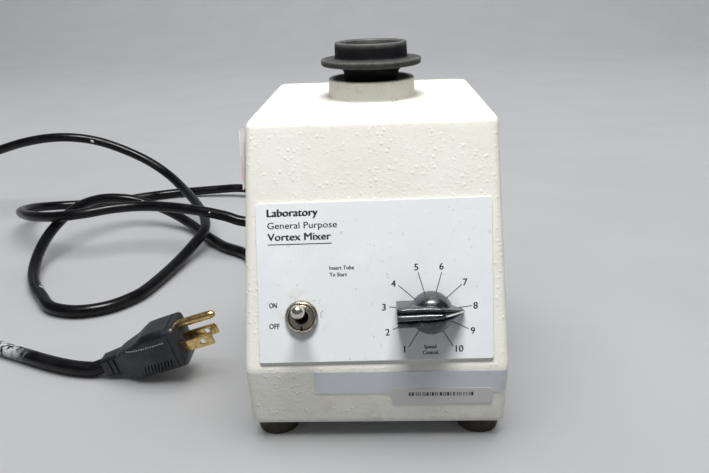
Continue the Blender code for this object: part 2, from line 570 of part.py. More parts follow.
def smooth_route():
    """Points on the curve through the route, never below its resting height."""
    points = [Vector(p) * MM for p in CORD_ROUTE]
    padded = [2 * points[0] - points[1]] + points + [2 * points[-1] - points[-2]]
    fine = []
    steps = 24
    for i in range(1, len(padded) - 2):
        p0, p1, p2, p3 = padded[i - 1:i + 3]
        for k in range(steps):
            t = k / steps
            bend = (2 * p0 - 5 * p1 + 4 * p2 - p3) * t * t + (3 * p1 - p0 - 3 * p2 + p3) * t ** 3
            fine.append(0.5 * (2 * p1 + (p2 - p0) * t + bend))
    fine.append(points[-1])
    # Progress counts turning as well as distance, so points crowd where the cord bends
    travelled = [0.0]
    for i in range(1, len(fine)):
        step = fine[i] - fine[i - 1]
        turning = step.angle(fine[i + 1] - fine[i]) if i < len(fine) - 1 else 0.0
        travelled.append(travelled[-1] + step.length + BEND_WEIGHT * turning)
    end = travelled[-1]
    straight = CORD_D  # short first and last segments square the ends to what they meet
    stations = [0.0, straight]
    stations += [straight + (end - 2 * straight) * k / CORD_SPACES for k in range(1, CORD_SPACES)]
    stations += [end - straight, end]
    samples = []
    index = 0
    for wanted in stations:
        while index < len(fine) - 2 and travelled[index + 1] < wanted:
            index += 1
        part = (wanted - travelled[index]) / (travelled[index + 1] - travelled[index])
        point = fine[index].lerp(fine[index + 1], min(part, 1.0))
        point.z = max(point.z, CORD_REST)
        samples.append(point)
    return samples


def make_cord(pvc):
    samples = smooth_route()
    curve = bpy.data.curves.new("power_cord", "CURVE")
    curve.dimensions = "3D"
    curve.bevel_depth = CORD_D / 2
    curve.bevel_resolution = 3
    curve.use_fill_caps = True
    spline = curve.splines.new("POLY")
    spline.points.add(len(samples) - 1)
    for target, point in zip(spline.points, samples):
        target.co = (*point, 1.0)
    curve.materials.append(pvc)
    cord = bpy.data.objects.new("power_cord", curve)
    bpy.context.collection.objects.link(cord)

    # Strain relief: grommet through the back wall with a flange and a tapering boot
    back = FRONT_Y + BAND_DEPTH
    rearward = Matrix.Rotation(math.radians(-90), 4, "X")
    frame = Matrix.Translation((CORD_EXIT[0], back, CORD_EXIT[1])) @ rearward
    relief = [(6.6 * MM, -7 * MM), (6.6 * MM, 1.0 * MM), (9.0 * MM, 1.2 * MM), (9.0 * MM, 3.6 * MM)]
    relief += [(7.6 * MM, 4.4 * MM), (6.9 * MM, 10 * MM), (5.2 * MM, 36.4 * MM)]
    add_object("strain_relief", turned(relief, segments=24), pvc, frame)


def make_plug(pvc, brass):
    tilt = Matrix.Rotation(-PLUG_PITCH, 4, "Y")
    frame = Matrix.Translation(PLUG_FACE) @ Matrix.Rotation(PLUG_HEADING, 4, "Z") @ tilt
    rear = -37.0 * MM

    # Cross-sections along the plug's length, local X forward: half width, low and high edges
    sections = [
        (-51.0 * MM, 5.6 * MM, -5.6 * MM, 5.6 * MM),
        (rear - 2 * MM, 6.6 * MM, -6.4 * MM, 6.6 * MM),
        (rear, 7.6 * MM, -8.0 * MM, 7.8 * MM),
        (rear + 9 * MM, 11.4 * MM, -10.0 * MM, 10.2 * MM),
        (rear + 18 * MM, 12.5 * MM, -10.4 * MM, 14.8 * MM),
        (-1.5 * MM, 12.5 * MM, -10.4 * MM, 15.5 * MM),
        (0.0, 11.6 * MM, -9.6 * MM, 14.7 * MM),
    ]
    rings = []
    for x, half, low, high in sections:
        outline = rounded_rectangle(-half, half, low, high, min(half, (high - low) / 2) * 0.42, 3)
        rings.append([(x, y, z) for y, z in outline])
    add_object("plug_body", lofted(rings), pvc, frame)

    front = GAP
    for name, side in (("plug_blade_near", -1), ("plug_blade_far", 1)):
        y = side * 6.35 * MM
        flat = block((front, y - 0.75 * MM, -3.2 * MM), (18.2 * MM, y + 0.75 * MM, 3.2 * MM))
        blade = add_object(name, flat, brass, frame)
        hole_frame = frame @ Matrix.Translation((12 * MM, y, 0)) @ Matrix.Rotation(math.radians(90), 4, "X")
        hole = turned([(1.6 * MM, -3 * MM), (1.6 * MM, 3 * MM)], segments=14)
        boolean(blade, [(hole, hole_frame)], "DIFFERENCE")
    pin_frame = frame @ Matrix.Translation((0, 0, 11.9 * MM)) @ Matrix.Rotation(math.radians(90), 4, "Y")
    pin = [(2.4 * MM, front), (2.4 * MM, 20.2 * MM), (1.9 * MM, 21.6 * MM), (0.9 * MM, 22.5 * MM)]
    add_object("plug_ground_pin", turned(pin, segments=18), brass, pin_frame)


def main():
    clear_scene()
    paint = make_material("cream_wrinkle_paint", (0.80, 0.79, 0.72), 0.55)
    panel = make_material("printed_panel", (0.78, 0.80, 0.83), 0.4, 0.1)
    steel = make_material("plated_steel", (0.52, 0.53, 0.54), 0.42, 1.0)
    bright = make_material("bright_nickel", (0.62, 0.58, 0.52), 0.22, 1.0)
    aluminium = make_material("cast_aluminium", (0.66, 0.67, 0.68), 0.5, 1.0)
    iron = make_material("cast_iron", (0.12, 0.12, 0.13), 0.7, 0.6)
    copper = make_material("wound_copper", (0.62, 0.28, 0.12), 0.4, 1.0)
    bronze = make_material("sintered_bronze", (0.55, 0.38, 0.18), 0.45, 1.0)
    brass = make_material("brass", (0.78, 0.58, 0.25), 0.28, 1.0)
    rubber = make_material("black_rubber", (0.035, 0.035, 0.04), 0.75)
    foot_rubber = make_material("brown_rubber", (0.09, 0.07, 0.05), 0.8)
    pvc = make_material("black_pvc", (0.02, 0.02, 0.023), 0.38)
    gloss = make_material("black_phenolic_knob", (0.012, 0.012, 0.014), 0.12)
    phenolic = make_material("dark_phenolic", (0.06, 0.035, 0.025), 0.5)
    nylon = make_material("white_nylon", (0.75, 0.74, 0.70), 0.5)
    red = make_material("red_button", (0.55, 0.05, 0.04), 0.4)
    green = make_material("circuit_board", (0.03, 0.18, 0.08), 0.4)
    can = make_material("capacitor_sleeve", (0.05, 0.12, 0.35), 0.35)

    make_housing(paint)
    make_front_panel(panel)
    make_base(steel, iron, foot_rubber)
    make_carriage(steel, aluminium, bright, copper)
    make_rotor(steel, bright, nylon, iron)
    make_head(rubber, nylon, bronze)
    make_start_switch(phenolic, steel, red)
    make_toggle(bright, phenolic)
    make_speed_control(gloss, bright, phenolic)
    make_electronics(green, aluminium, can, phenolic)
    make_cord(pvc)
    make_plug(pvc, brass)


main()
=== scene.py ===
"""Looks for the benchtop vortex mixer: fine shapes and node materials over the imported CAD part."""
import random
from math import copysign, cos, degrees, hypot, pi, radians, sin, sqrt

import bmesh
import bpy
from mathutils import Matrix, Vector


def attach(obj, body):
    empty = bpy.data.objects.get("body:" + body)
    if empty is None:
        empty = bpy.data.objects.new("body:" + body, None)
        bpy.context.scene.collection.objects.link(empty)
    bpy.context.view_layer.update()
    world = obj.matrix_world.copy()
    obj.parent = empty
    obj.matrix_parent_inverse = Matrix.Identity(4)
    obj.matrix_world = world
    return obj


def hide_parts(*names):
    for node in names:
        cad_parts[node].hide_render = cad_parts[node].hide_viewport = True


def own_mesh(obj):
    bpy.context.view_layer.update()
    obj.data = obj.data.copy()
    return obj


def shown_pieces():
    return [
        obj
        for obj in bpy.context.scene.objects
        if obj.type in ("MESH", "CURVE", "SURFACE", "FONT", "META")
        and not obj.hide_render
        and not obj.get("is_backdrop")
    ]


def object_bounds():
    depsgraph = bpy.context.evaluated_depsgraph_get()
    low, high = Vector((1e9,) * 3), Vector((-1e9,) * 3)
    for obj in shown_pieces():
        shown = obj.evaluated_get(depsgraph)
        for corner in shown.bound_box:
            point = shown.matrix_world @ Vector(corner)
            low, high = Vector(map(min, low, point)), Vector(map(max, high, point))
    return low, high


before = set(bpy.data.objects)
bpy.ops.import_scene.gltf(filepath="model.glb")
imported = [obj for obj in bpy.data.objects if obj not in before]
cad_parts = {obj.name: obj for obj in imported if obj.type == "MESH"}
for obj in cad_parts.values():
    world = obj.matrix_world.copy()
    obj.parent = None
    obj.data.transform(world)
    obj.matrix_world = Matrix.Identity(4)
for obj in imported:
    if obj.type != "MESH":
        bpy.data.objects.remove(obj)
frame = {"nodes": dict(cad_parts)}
low_corner, high_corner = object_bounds()

MM = 0.001
random.seed(7)

# The part's own sizes, in metres
FRONT_Y = -75.3 * MM
BAND_TOP_Z = 39.5 * MM
BODY_BOTTOM_Z = 8.9 * MM
BODY_TOP_Z = 154 * MM
BAND_HALF_W = 63.5 * MM
BOTTOM_HALF_W = 62.5 * MM
TOP_HALF_W = 59.7 * MM
SLOPE_SETBACK = 36.1 * MM
BAND_SETBACK = 1.4 * MM
BAND_DEPTH = 160.6 * MM
TOP_BACK_Y = FRONT_Y + 158.6 * MM
WALL = 3.5 * MM
CORNER_R = 4 * MM
TOP_EDGE_R = 4 * MM
HEAD_Y = FRONT_Y + 98.6 * MM
COLLAR_R = 23.6 * MM
COLLAR_HOLE_R = 20.8 * MM
COLLAR_TOP_Z = 164.5 * MM
POST_OFFSET = 35 * MM
SPRING_LOW_Z = 12.8 * MM
SPRING_HIGH_Z = 33.7 * MM
CUP_Y = HEAD_Y - 2 * MM
CUP_R = 19.5 * MM
CUP_TOP_Z = 183.4 * MM
FLANGE_R = 27.1 * MM
FLANGE_TOP_Z = 174.8 * MM
TOGGLE = (-34.8 * MM, 26.5 * MM)
TOGGLE_TILT = 14  # angles are in degrees
DIAL = (26.5 * MM, 27.8 * MM)
POINTER_TURN = -88
PANEL_FRONT = 1.2 * MM
CORD_D = 8.8 * MM
CORD_REST = 4.6 * MM
CORD_EXIT = (-28 * MM, 24 * MM)
PLUG_FACE = (-110.8 * MM, -12.1 * MM, 21.1 * MM)
PLUG_HEADING = 2
PLUG_PITCH = 16

# The camera that took the photo, from a fit to the casting's edges
CAMERA_PLACE = (0.00455, -0.35728, 0.21417)
CAMERA_PITCH, CAMERA_YAW, CAMERA_ROLL = 0.3601, -0.0445, -0.0357
CAMERA_LENS = 34.58

# Marks that wear has left at one place each
TOP_CHIP = (0.0128, 0.0012, 0.1545)
LOW_CORNER_DOT = (-0.0602, -0.0725, 0.0135)
CORD_STAIN = (-0.239, 0.013, 0.007)

SLOPE_RISE = BODY_TOP_Z - BAND_TOP_Z
UP_SLOPE = Vector((0, SLOPE_SETBACK, SLOPE_RISE)) / hypot(SLOPE_SETBACK, SLOPE_RISE)
OUTWARD = Vector((0, -UP_SLOPE.z, UP_SLOPE.y))

LOW = CORD_REST / MM
CORD_ROUTE = [
    (-28, 122.5, 24), (-28, 140, 22), (-30, 165, 13), (-37, 195, 6), (-48, 228, 5),
    (-64, 262, 5), (-86, 296, 5), (-112, 324, 5.5), (-143, 340, 9), (-176, 345, 7),
    (-214, 344, 5), (-244, 333, 5), (-276, 316, 5), (-306, 306, 6), (-328, 295, 8.5),
    (-340, 274, 13.5), (-336, 242, 20), (-308, 205, 28), (-276, 186, 33), (-250, 184, 36),
    (-228, 193, 37), (-205, 198, 37), (-177, 193, 37), (-149, 184, 36), (-127, 178, 33),
    (-111, 175, 29), (-82, 176, 26), (-54, 179, 25), (-27, 173, 22), (-3, 158, 15),
    (6, 136, 8), (2, 115, 5.5), (-13, 100, LOW), (-36, 96, LOW), (-58, 102, LOW), (-77, 115, LOW),
    (-94, 139, LOW),
    (-109, 163, LOW), (-131, 181, LOW), (-152, 207, 4.5), (-174, 233, 8), (-195, 248, 14),
    (-217, 257, 20), (-240, 257, 26), (-259, 245, 30), (-271, 224, 30), (-278, 200, 25),
    (-281, 176, 18), (-279, 152, 11), (-272, 128, 6), (-261, 107, LOW), (-247, 88, LOW),
    (-231, 69, LOW), (-210, 62, LOW), (-190, 68, LOW), (-176, 84, LOW), (-170, 101, LOW),
    (-162, 138, 6), (-155, 172, 10), (-151, 198, 15), (-158, 225, 18), (-172, 254, 21),
    (-191, 284, 26), (-212, 307, 35), (-234, 317, 47), (-258, 319, 59), (-281, 316, 69),
    (-303, 310, 75), (-327, 307, 76), (-355, 308, 72), (-387, 314, 63), (-421, 317, 52),
    (-447, 300, 38), (-460, 268, 23), (-459, 230, 11), (-446, 190, 4.4), (-420, 150, LOW),
    (-384, 112, LOW), (-342, 76, LOW), (-302, 47, LOW), (-267, 27, LOW), (-238.6, 12.8, LOW),
    (-217.5, 3, LOW), (-197, -6.4, LOW), (-181, -12, LOW), (-169.1, -14.1, 4.4), (-160.5, -13.8, 6.8),
]


def add_object(name, data):
    obj = bpy.data.objects.new(name, data)
    bpy.context.scene.collection.objects.link(obj)
    return obj


def four(stem):
    """The names of four alike nodes, one at each corner."""
    return [f"{stem}_{row}_{side}" for row in ("front", "rear") for side in ("left", "right")]


# ---- camera


def make_camera():
    data = bpy.data.cameras.new("view_camera")
    data.lens = CAMERA_LENS
    data.clip_start = 0.01
    data.clip_end = 50
    camera = add_object("view_camera", data)
    heading = Matrix.Translation(CAMERA_PLACE) @ Matrix.Rotation(-CAMERA_YAW, 4, "Z")
    tilt = Matrix.Rotation(pi / 2 - CAMERA_PITCH, 4, "X") @ Matrix.Rotation(CAMERA_ROLL, 4, "Z")
    camera.matrix_world = heading @ tilt
    bpy.context.scene.camera = camera


make_camera()


# ---- material nodes


class Finish:
    """One node material. Its methods add nodes and return an output socket."""

    def __init__(self, name, **shader_inputs):
        self.material = bpy.data.materials.new(name)
        self.material.use_nodes = True
        self.tree = self.material.node_tree
        self.shader = self.tree.nodes["Principled BSDF"]
        for key, value in shader_inputs.items():
            self.shader.inputs[key.replace("_", " ")].default_value = value
        self.place = self.node("TexCoord", "Object")
        self.normal = None

    def node(self, kind, output, inputs=(), **settings):
        """Adds a node. Its inputs are numbers, colours or sockets, each under a name or an index."""
        made = self.tree.nodes.new("ShaderNode" + kind)
        for key, value in settings.items():
            setattr(made, key, value)
        for key, value in dict(inputs).items():
            self.put(made.inputs[key], value)
        return made.outputs[output]

    def put(self, socket, value):
        if isinstance(value, bpy.types.NodeSocket):
            self.tree.links.new(value, socket)
        elif isinstance(value, tuple) and socket.type == "RGBA":
            socket.default_value = (*value, 1)
        else:
            socket.default_value = value

    def stretched(self, scale, turn=(0, 0, 0), shift=(0, 0, 0)):
        inputs = {"Vector": self.place, "Scale": scale, "Rotation": turn, "Location": shift}
        return self.node("Mapping", "Vector", inputs)

    def noise(self, scale, detail=3, rough=0.5, vector=None, distortion=0):
        inputs = {"Vector": vector or self.place, "Scale": scale, "Detail": detail, "Roughness": rough,
                  "Distortion": distortion}
        return self.node("TexNoise", "Fac", inputs)

    def cells(self, scale, vector=None):
        return self.node("TexVoronoi", "Distance", {"Vector": vector or self.place, "Scale": scale})

    def waves(self, scale, direction, distortion=0):
        inputs = {"Vector": self.place, "Scale": scale, "Distortion": distortion}
        return self.node("TexWave", "Fac", inputs, bands_direction=direction)

    def band(self, value, low, high, out_low=0, out_high=1):
        """Maps low..high onto out_low..out_high, clamped, with a smooth step."""
        inputs = {"Value": value, "From Min": low, "From Max": high, "To Min": out_low, "To Max": out_high}
        return self.node("MapRange", "Result", inputs, interpolation_type="SMOOTHSTEP")

    def patches(self, scale, detail, rough, *edges):
        """Irregular patches: noise with its values spread between the edges."""
        return self.band(self.noise(scale, detail, rough), *edges)

    def math(self, kind, a, b=0):
        return self.node("Math", "Value", {0: a, 1: b}, operation=kind)

    def times(self, a, b):
        return self.math("MULTIPLY", a, b)

    def mix(self, factor, a, b):
        return self.node("Mix", 2, {0: factor, 6: a, 7: b}, data_type="RGBA")

    def wear(self):
        """How much each point of the mesh is rubbed, 0 to 1."""
        return self.node("Attribute", "Fac", attribute_name="wear")

    def along(self, axis):
        """One coordinate of the point, or its distance along a vector."""
        if isinstance(axis, int):
            return self.node("SeparateXYZ", axis, {0: self.place})
        return self.node("VectorMath", "Value", {0: self.place, 1: tuple(axis)}, operation="DOT_PRODUCT")

    def near(self, point):
        """Distance from a fixed place."""
        return self.node("VectorMath", "Value", {0: self.place, 1: tuple(point)}, operation="DISTANCE")

    def bump(self, height, depth, strength):
        """Raises the surface by a height socket times a depth in millimetres."""
        inputs = {"Strength": strength, "Distance": depth * MM, "Height": height}
        if self.normal is not None:
            inputs["Normal"] = self.normal
        self.normal = self.node("Bump", "Normal", inputs)

    def done(self, colour, mask, low, high, metallic=None):
        """Finishes the material. The mask carries its roughness from low to high."""
        roughness = self.band(mask, 0, 1, low, high)
        chosen = {"Base Color": colour, "Roughness": roughness, "Metallic": metallic, "Normal": self.normal}
        for key, value in chosen.items():
            if value is not None:
                self.put(self.shader.inputs[key], value)
        return self.material


def wrinkle_paint():
    """Pebbled baked enamel: shallow rounded lumps, patches darker towards the bottom, rubbed edges and a few
    chips.
    """
    f = Finish("cream_wrinkle_paint", Specular_IOR_Level=0.45)
    fold = f.noise(300, 4, 0.6, distortion=0.8)
    few = f.patches(70, 3, 0.6, 0.36, 0.62, 0.35, 1)
    pebbles = f.band(f.cells(300), 0.34, 0.04)
    aslant = f.stretched((1, 1, 1), (0.4, 0.3, 0.2), (0.3, 0.1, 0.2))
    grains = f.band(f.cells(560, aslant), 0.38, 0.05)
    f.bump(f.times(f.math("MAXIMUM", pebbles, f.times(grains, 0.55)), few), 0.22, 0.7)
    f.bump(fold, 0.3, 0.32)
    cloud = f.patches(20, 4, 0.6, 0.35, 0.7)
    tone = f.mix(cloud, (0.785, 0.775, 0.705), (0.835, 0.83, 0.775))
    hollow = f.band(fold, 0.5, 0.34)
    tone = f.mix(f.times(hollow, 0.12), tone, (0.6, 0.57, 0.48))
    # Patches darker towards the bottom: none above 45 mm, full below 10 mm, over the height of the base band.
    darker_low_down = f.times(f.band(f.along(2), 0.045, 0.01), f.patches(90, 5, 0.65, 0.48, 0.75))
    tone = f.mix(f.times(darker_low_down, 0.28), tone, (0.44, 0.41, 0.34))
    rubbed = f.times(f.wear(), f.patches(160, 4, 0.6, 0.54, 0.7))
    tone = f.mix(f.times(rubbed, 0.3), tone, (0.52, 0.49, 0.42))
    chips = f.times(f.patches(300, 2, 0.5, 0.745, 0.76), f.wear())
    knock = f.times(f.band(f.near(TOP_CHIP), 0.003, 0.0012), f.band(f.noise(620, 2), 0.5, 0.54))
    dot = f.band(f.near(LOW_CORNER_DOT), 0.0009, 0.0005)
    spots = f.math("MAXIMUM", f.math("MAXIMUM", chips, knock), dot)
    tone = f.mix(spots, tone, (0.07, 0.065, 0.06))
    return f.done(tone, cloud, 0.5, 0.38)


def panel_print_base():
    """Pale panel film, smeared, with grime gathered round the toggle and the knob."""
    f = Finish("panel_grey", Specular_IOR_Level=0.3)
    f.bump(f.noise(900, 2, 0.6, f.stretched((0.02, 1, 1))), 0.01, 0.2)
    smear = f.patches(34, 5, 0.62, 0.42, 0.72)
    tone = f.mix(smear, (0.77, 0.8, 0.825), (0.82, 0.85, 0.87))
    dust = f.patches(520, 2, 0.5, 0.68, 0.72)
    tone = f.mix(f.times(dust, 0.5), tone, (0.55, 0.53, 0.48))
    for spot, outer, inner, scale, low, amount, colour in (
        (TOGGLE, 0.016, 0.005, 160, 0.45, 0.45, (0.42, 0.38, 0.3)),
        (DIAL, 0.019, 0.009, 120, 0.42, 0.3, (0.5, 0.44, 0.36)),
    ):
        grime = f.times(f.band(f.near(slope_point(*spot)), outer, inner), f.band(f.noise(scale), low, 0.7))
        tone = f.mix(f.times(grime, amount), tone, colour)
    return f.done(tone, smear, 0.56, 0.44)


def ink():
    f = Finish("printed_ink")
    speckle = f.patches(1500, 2, 0.6, 0.4, 0.7)
    tone = f.mix(speckle, (0.012, 0.013, 0.016), (0.045, 0.047, 0.051))
    return f.done(tone, speckle, 0.45, 0.6)


def metal(name, colour, dark, roughness, spread=0.12, scale=260, scratch=0, handled=False):
    """Bare or plated metal: tarnish patches, fine scratches, uneven polish. Handled parts rub bright."""
    f = Finish(name, Metallic=1)
    patch = f.patches(scale, 5, 0.65, 0.38, 0.7)
    if handled:
        patch = f.band(f.math("SUBTRACT", f.math("ADD", patch, 0.55), f.wear()), 0, 1)
    f.bump(f.noise(2600, 2, 0.5, f.stretched((1, 0.05, 0.3))), 0.02, 0.25 + scratch)
    return f.done(f.mix(patch, colour, dark), patch, roughness, roughness + spread)


def moulded(name, colour, pale, roughness, scale=420, depth=0.03, specular=0.5, spots=0, rubbed=None):
    """Moulded plastic or rubber with a fine surface texture and faint dust, paler where it is rubbed."""
    f = Finish(name, Specular_IOR_Level=specular)
    f.bump(f.noise(scale * 3, 3, 0.55), depth, 0.5)
    dust = f.patches(scale * 0.25, 5, 0.68, 0.42, 0.78)
    tone = f.mix(dust, colour, pale)
    if spots:
        flecks = f.patches(scale * 2.2, 2, 0.5, 0.74, 0.77, 0, spots)
        tone = f.mix(flecks, tone, (0.5, 0.5, 0.48))
    if rubbed:
        tone = f.mix(f.wear(), tone, rubbed)
    return f.done(tone, dust, roughness, roughness + 0.12)


def cup_rubber():
    f = Finish("black_cup_rubber", Specular_IOR_Level=0.2)
    f.bump(f.noise(900, 3, 0.6), 0.05, 0.5)
    bloom = f.patches(120, 5, 0.65, 0.4, 0.78)
    tone = f.mix(f.times(bloom, 0.4), (0.004, 0.004, 0.0055), (0.02, 0.021, 0.026))
    # Paler grey where the cup is worn, in patches; on the rim top, worn to the full, this grey is also a
    # painted highlight.
    worn_and_highlight = f.times(f.wear(), f.patches(210, 4, 0.6, 0.25, 0.62, 0.5, 1))
    tone = f.mix(worn_and_highlight, tone, (0.125, 0.125, 0.122))
    specks = f.patches(700, 2, 0.5, 0.75, 0.78, 0, 0.5)
    return f.done(f.mix(specks, tone, (0.4, 0.4, 0.38)), worn_and_highlight, 0.62, 0.45)


def knob_gloss():
    f = Finish("black_knob", Specular_IOR_Level=0.6, Coat_Weight=0.35, Coat_Roughness=0.08)
    f.bump(f.noise(260, 2, 0.5), 0.06, 0.18)
    # Patches of paler bluish grey: a surface film, lightened to paint the room's reflection on the black
    # plastic.
    film = f.patches(150, 5, 0.65, 0.36, 0.68)
    tone = f.mix(film, (0.009, 0.01, 0.0128), (0.046, 0.053, 0.066))
    dust = f.patches(800, 2, 0.5, 0.72, 0.75, 0, 0.5)
    return f.done(f.mix(dust, tone, (0.35, 0.35, 0.34)), film, 0.16, 0.38)


def cord_pvc():
    """Black lead with a pale stain near the plug."""
    f = Finish("black_cord_pvc", Specular_IOR_Level=0.3)
    f.bump(f.noise(420, 3, 0.55), 0.12, 0.25)
    film = f.patches(60, 5, 0.65, 0.42, 0.75)
    tone = f.mix(film, (0.002, 0.002, 0.0028), (0.006, 0.006, 0.0075))
    specks = f.patches(150, 1, 0.4, 0.79, 0.8)
    tone = f.mix(specks, tone, (0.62, 0.6, 0.56))
    blotches = f.band(f.noise(230, 5, 0.7, f.stretched((1, 1.8, 1))), 0.43, 0.56)
    tone = f.mix(f.times(f.band(f.near(CORD_STAIN), 0.034, 0.01), blotches), tone, (0.5, 0.53, 0.57))
    return f.done(tone, film, 0.28, 0.46)


def toggle_body_finish():
    """Phenolic case below the wall, threaded nickel bushing above it, with the shade in its key slot painted
    as a dark stripe at its lower side.
    """
    f = Finish("toggle_case")
    height = f.math("SUBTRACT", f.along(OUTWARD), slope_point(0, 0).dot(OUTWARD))
    bushing = f.band(height, -3.7 * MM, -3.6 * MM)
    thread = f.math("SINE", f.times(height, 2 * pi / (0.75 * MM)))
    f.bump(f.times(thread, bushing), 0.12, 0.6)
    patch = f.patches(700, 4, 0.6, 0.35, 0.7)
    plated = f.mix(patch, (0.6, 0.55, 0.48), (0.28, 0.24, 0.19))
    case = f.mix(patch, (0.045, 0.022, 0.005), (0.075, 0.045, 0.03))
    tone = f.mix(bushing, case, plated)
    # The key slot is not cut: a narrow dark stripe, from about 4 mm below the toggle's middle downwards,
    # paints the shade inside it.
    aside = f.math("ABSOLUTE", f.math("SUBTRACT", f.along(0), TOGGLE[0]))
    above = f.math("SUBTRACT", f.along(UP_SLOPE), slope_point(*TOGGLE).dot(UP_SLOPE))
    keyway_shade = f.times(f.band(aside, 0.35 * MM, 0.5 * MM, 1, 0), f.band(above, -4 * MM, -4.3 * MM))
    tone = f.mix(keyway_shade, tone, (0.015, 0.012, 0.01))
    return f.done(tone, patch, 0.26, 0.5, bushing)


def laminated():
    """Stack of thin steel sheets: fine lines round the sides, rusting in patches."""
    f = Finish("laminated_steel", Metallic=0.9)
    lines = f.waves(620, "Z")
    f.bump(lines, 0.12, 0.7)
    rust = f.patches(180, 5, 0.65, 0.48, 0.75)
    sheets = f.mix(lines, (0.4, 0.4, 0.42), (0.2, 0.2, 0.22))
    return f.done(f.mix(f.times(rust, 0.6), sheets, (0.22, 0.12, 0.07)), rust, 0.38, 0.65)


def wound():
    """Coil of enamelled wire: rounded turns side by side."""
    f = Finish("field_winding", Metallic=0.85, Coat_Weight=0.4)
    f.bump(f.waves(420, "Z", 0.4), 0.25, 0.9)
    varied = f.band(f.noise(300, 3), 0.3, 0.7)
    return f.done(f.mix(varied, (0.55, 0.22, 0.09), (0.34, 0.12, 0.05)), varied, 0.25, 0.4)


def board():
    """Green circuit board with copper tracks and solder."""
    f = Finish("circuit_board", Coat_Weight=0.3)
    tracks = f.band(f.waves(160, "DIAGONAL", 6), 0.72, 0.8)
    blobs = f.band(f.cells(330), 0.12, 0.08)
    tone = f.mix(tracks, (0.02, 0.13, 0.055), (0.045, 0.22, 0.09))
    f.bump(tracks, 0.05, 0.5)
    return f.done(f.mix(blobs, tone, (0.55, 0.55, 0.52)), blobs, 0.38, 0.2)


def paper(name, colour, fringe=None):
    """Soiled label stock. A fringe colour tints part of the side label's front edge."""
    f = Finish(name, Specular_IOR_Level=0.4)
    f.bump(f.noise(60, 3, 0.5), 0.25, 0.35)
    soil = f.patches(70, 5, 0.65, 0.48, 0.78)
    tone = f.mix(f.times(soil, 0.35), colour, (0.45, 0.46, 0.47))
    if fringe:
        behind_edge = f.along((0, 1, -SLOPE_SETBACK / SLOPE_RISE))
        edge = f.band(behind_edge, -0.0824, -0.0829)
        span = f.times(f.band(f.along(2), 0.124, 0.1265), f.band(f.along(2), 0.1375, 0.1355))
        tone = f.mix(f.times(edge, span), tone, fringe)
    return f.done(tone, soil, 0.3, 0.5)


# ---- shape helpers


def turned(angle, axis):
    return Matrix.Rotation(radians(angle), 4, axis)


def slope_point(u, v, lift=0):
    return Vector((u, FRONT_Y, BAND_TOP_Z)) + UP_SLOPE * v + OUTWARD * lift


def slope_frame(u, v, twist=0):
    axes = Matrix((Vector((1, 0, 0)), UP_SLOPE, OUTWARD)).transposed().to_4x4()
    return Matrix.Translation(slope_point(u, v)) @ axes @ turned(twist, "Z")


def shift(x, y, z):
    """Move by millimetres."""
    return Matrix.Translation((x * MM, y * MM, z * MM))


# Where the cord leaves the back wall, with local Z pointing out of it
BACK_EXIT = Matrix.Translation((CORD_EXIT[0], FRONT_Y + BAND_DEPTH, CORD_EXIT[1])) @ turned(-90, "X")


def sharpen(mesh, angle):
    mesh.set_sharp_from_angle(angle=radians(angle))


def final_mesh(obj):
    bpy.context.view_layer.update()
    return bpy.data.meshes.new_from_object(obj.evaluated_get(bpy.context.evaluated_depsgraph_get()))


def mesh_object(name, shape, matrix=None, smooth=38, wear=None):
    """Named object from a bmesh, placed in the shared frame by moving its points."""
    bmesh.ops.recalc_face_normals(shape, faces=shape.faces)
    mesh = bpy.data.meshes.new(name)
    if matrix is not None:
        shape.transform(matrix)
    shape.to_mesh(mesh)
    shape.free()
    if wear is not None:
        layer = mesh.attributes.new("wear", "FLOAT", "POINT")
        layer.data.foreach_set("value", wear)
    mesh.shade_smooth()
    sharpen(mesh, smooth)
    return add_object(name, mesh)


def loft(rings, closed=False):
    """Skin over rings of points, capped at both ends or joined from the last ring to the first."""
    shape = bmesh.new()
    loops = [[shape.verts.new(p) for p in ring] for ring in rings]
    count = len(rings[0])
    pairs = list(zip(loops, loops[1:])) + ([(loops[-1], loops[0])] if closed else [])
    for a, b in pairs:
        for i in range(count):
            j = (i + 1) % count
            shape.faces.new((a[i], a[j], b[j], b[i]))
    if not closed:
        shape.faces.new(list(reversed(loops[0])))
        shape.faces.new(loops[-1])
    return shape


def eased(back, here, ahead, reach, steps):
    """Points that round off the corner here between its neighbours, starting a reach before it."""
    start = here + (back - here).normalized() * reach
    stop = here + (ahead - here).normalized() * reach
    return [start.lerp(here, k / steps).lerp(here.lerp(stop, k / steps), k / steps) for k in range(steps + 1)]


def filleted(corners, steps):
    """(r, z, radius, wear) corners in millimetres to a smooth profile of (r, z, wear) in metres.

    A corner may leave out its wear, or its radius and wear, when they are zero.
    """
    places = [Vector((corner[0] * MM, corner[1] * MM)) for corner in corners]
    points = []
    for i, corner in enumerate(corners):
        r, z, radius, wear = (*corner, 0, 0)[:4]
        if radius <= 0 or i in (0, len(corners) - 1):
            points.append((r * MM, z * MM, wear))
            continue
        back, here, ahead = places[i - 1:i + 2]
        reach = min(radius * MM, (back - here).length * 0.48, (ahead - here).length * 0.48)
        points += [(p.x, p.y, wear) for p in eased(back, here, ahead, reach, steps)]
    return points


def lathe(name, corners, matrix, segments=96, closed=False, steps=4, wobble=0, smooth=45):
    """Turned piece about local Z from filleted corners, with a wear value for each ring."""
    rings, wear = [], []
    for r, z, rub in filleted(corners, steps):
        ring = []
        for i in range(segments):
            angle = 2 * pi * i / segments
            out = r + wobble * MM * sin(3 * angle + z * 900)
            ring.append((out * cos(angle), out * sin(angle), z))
        rings.append(ring)
        wear += [rub] * segments
    return mesh_object(name, loft(rings, closed), matrix, smooth, wear)


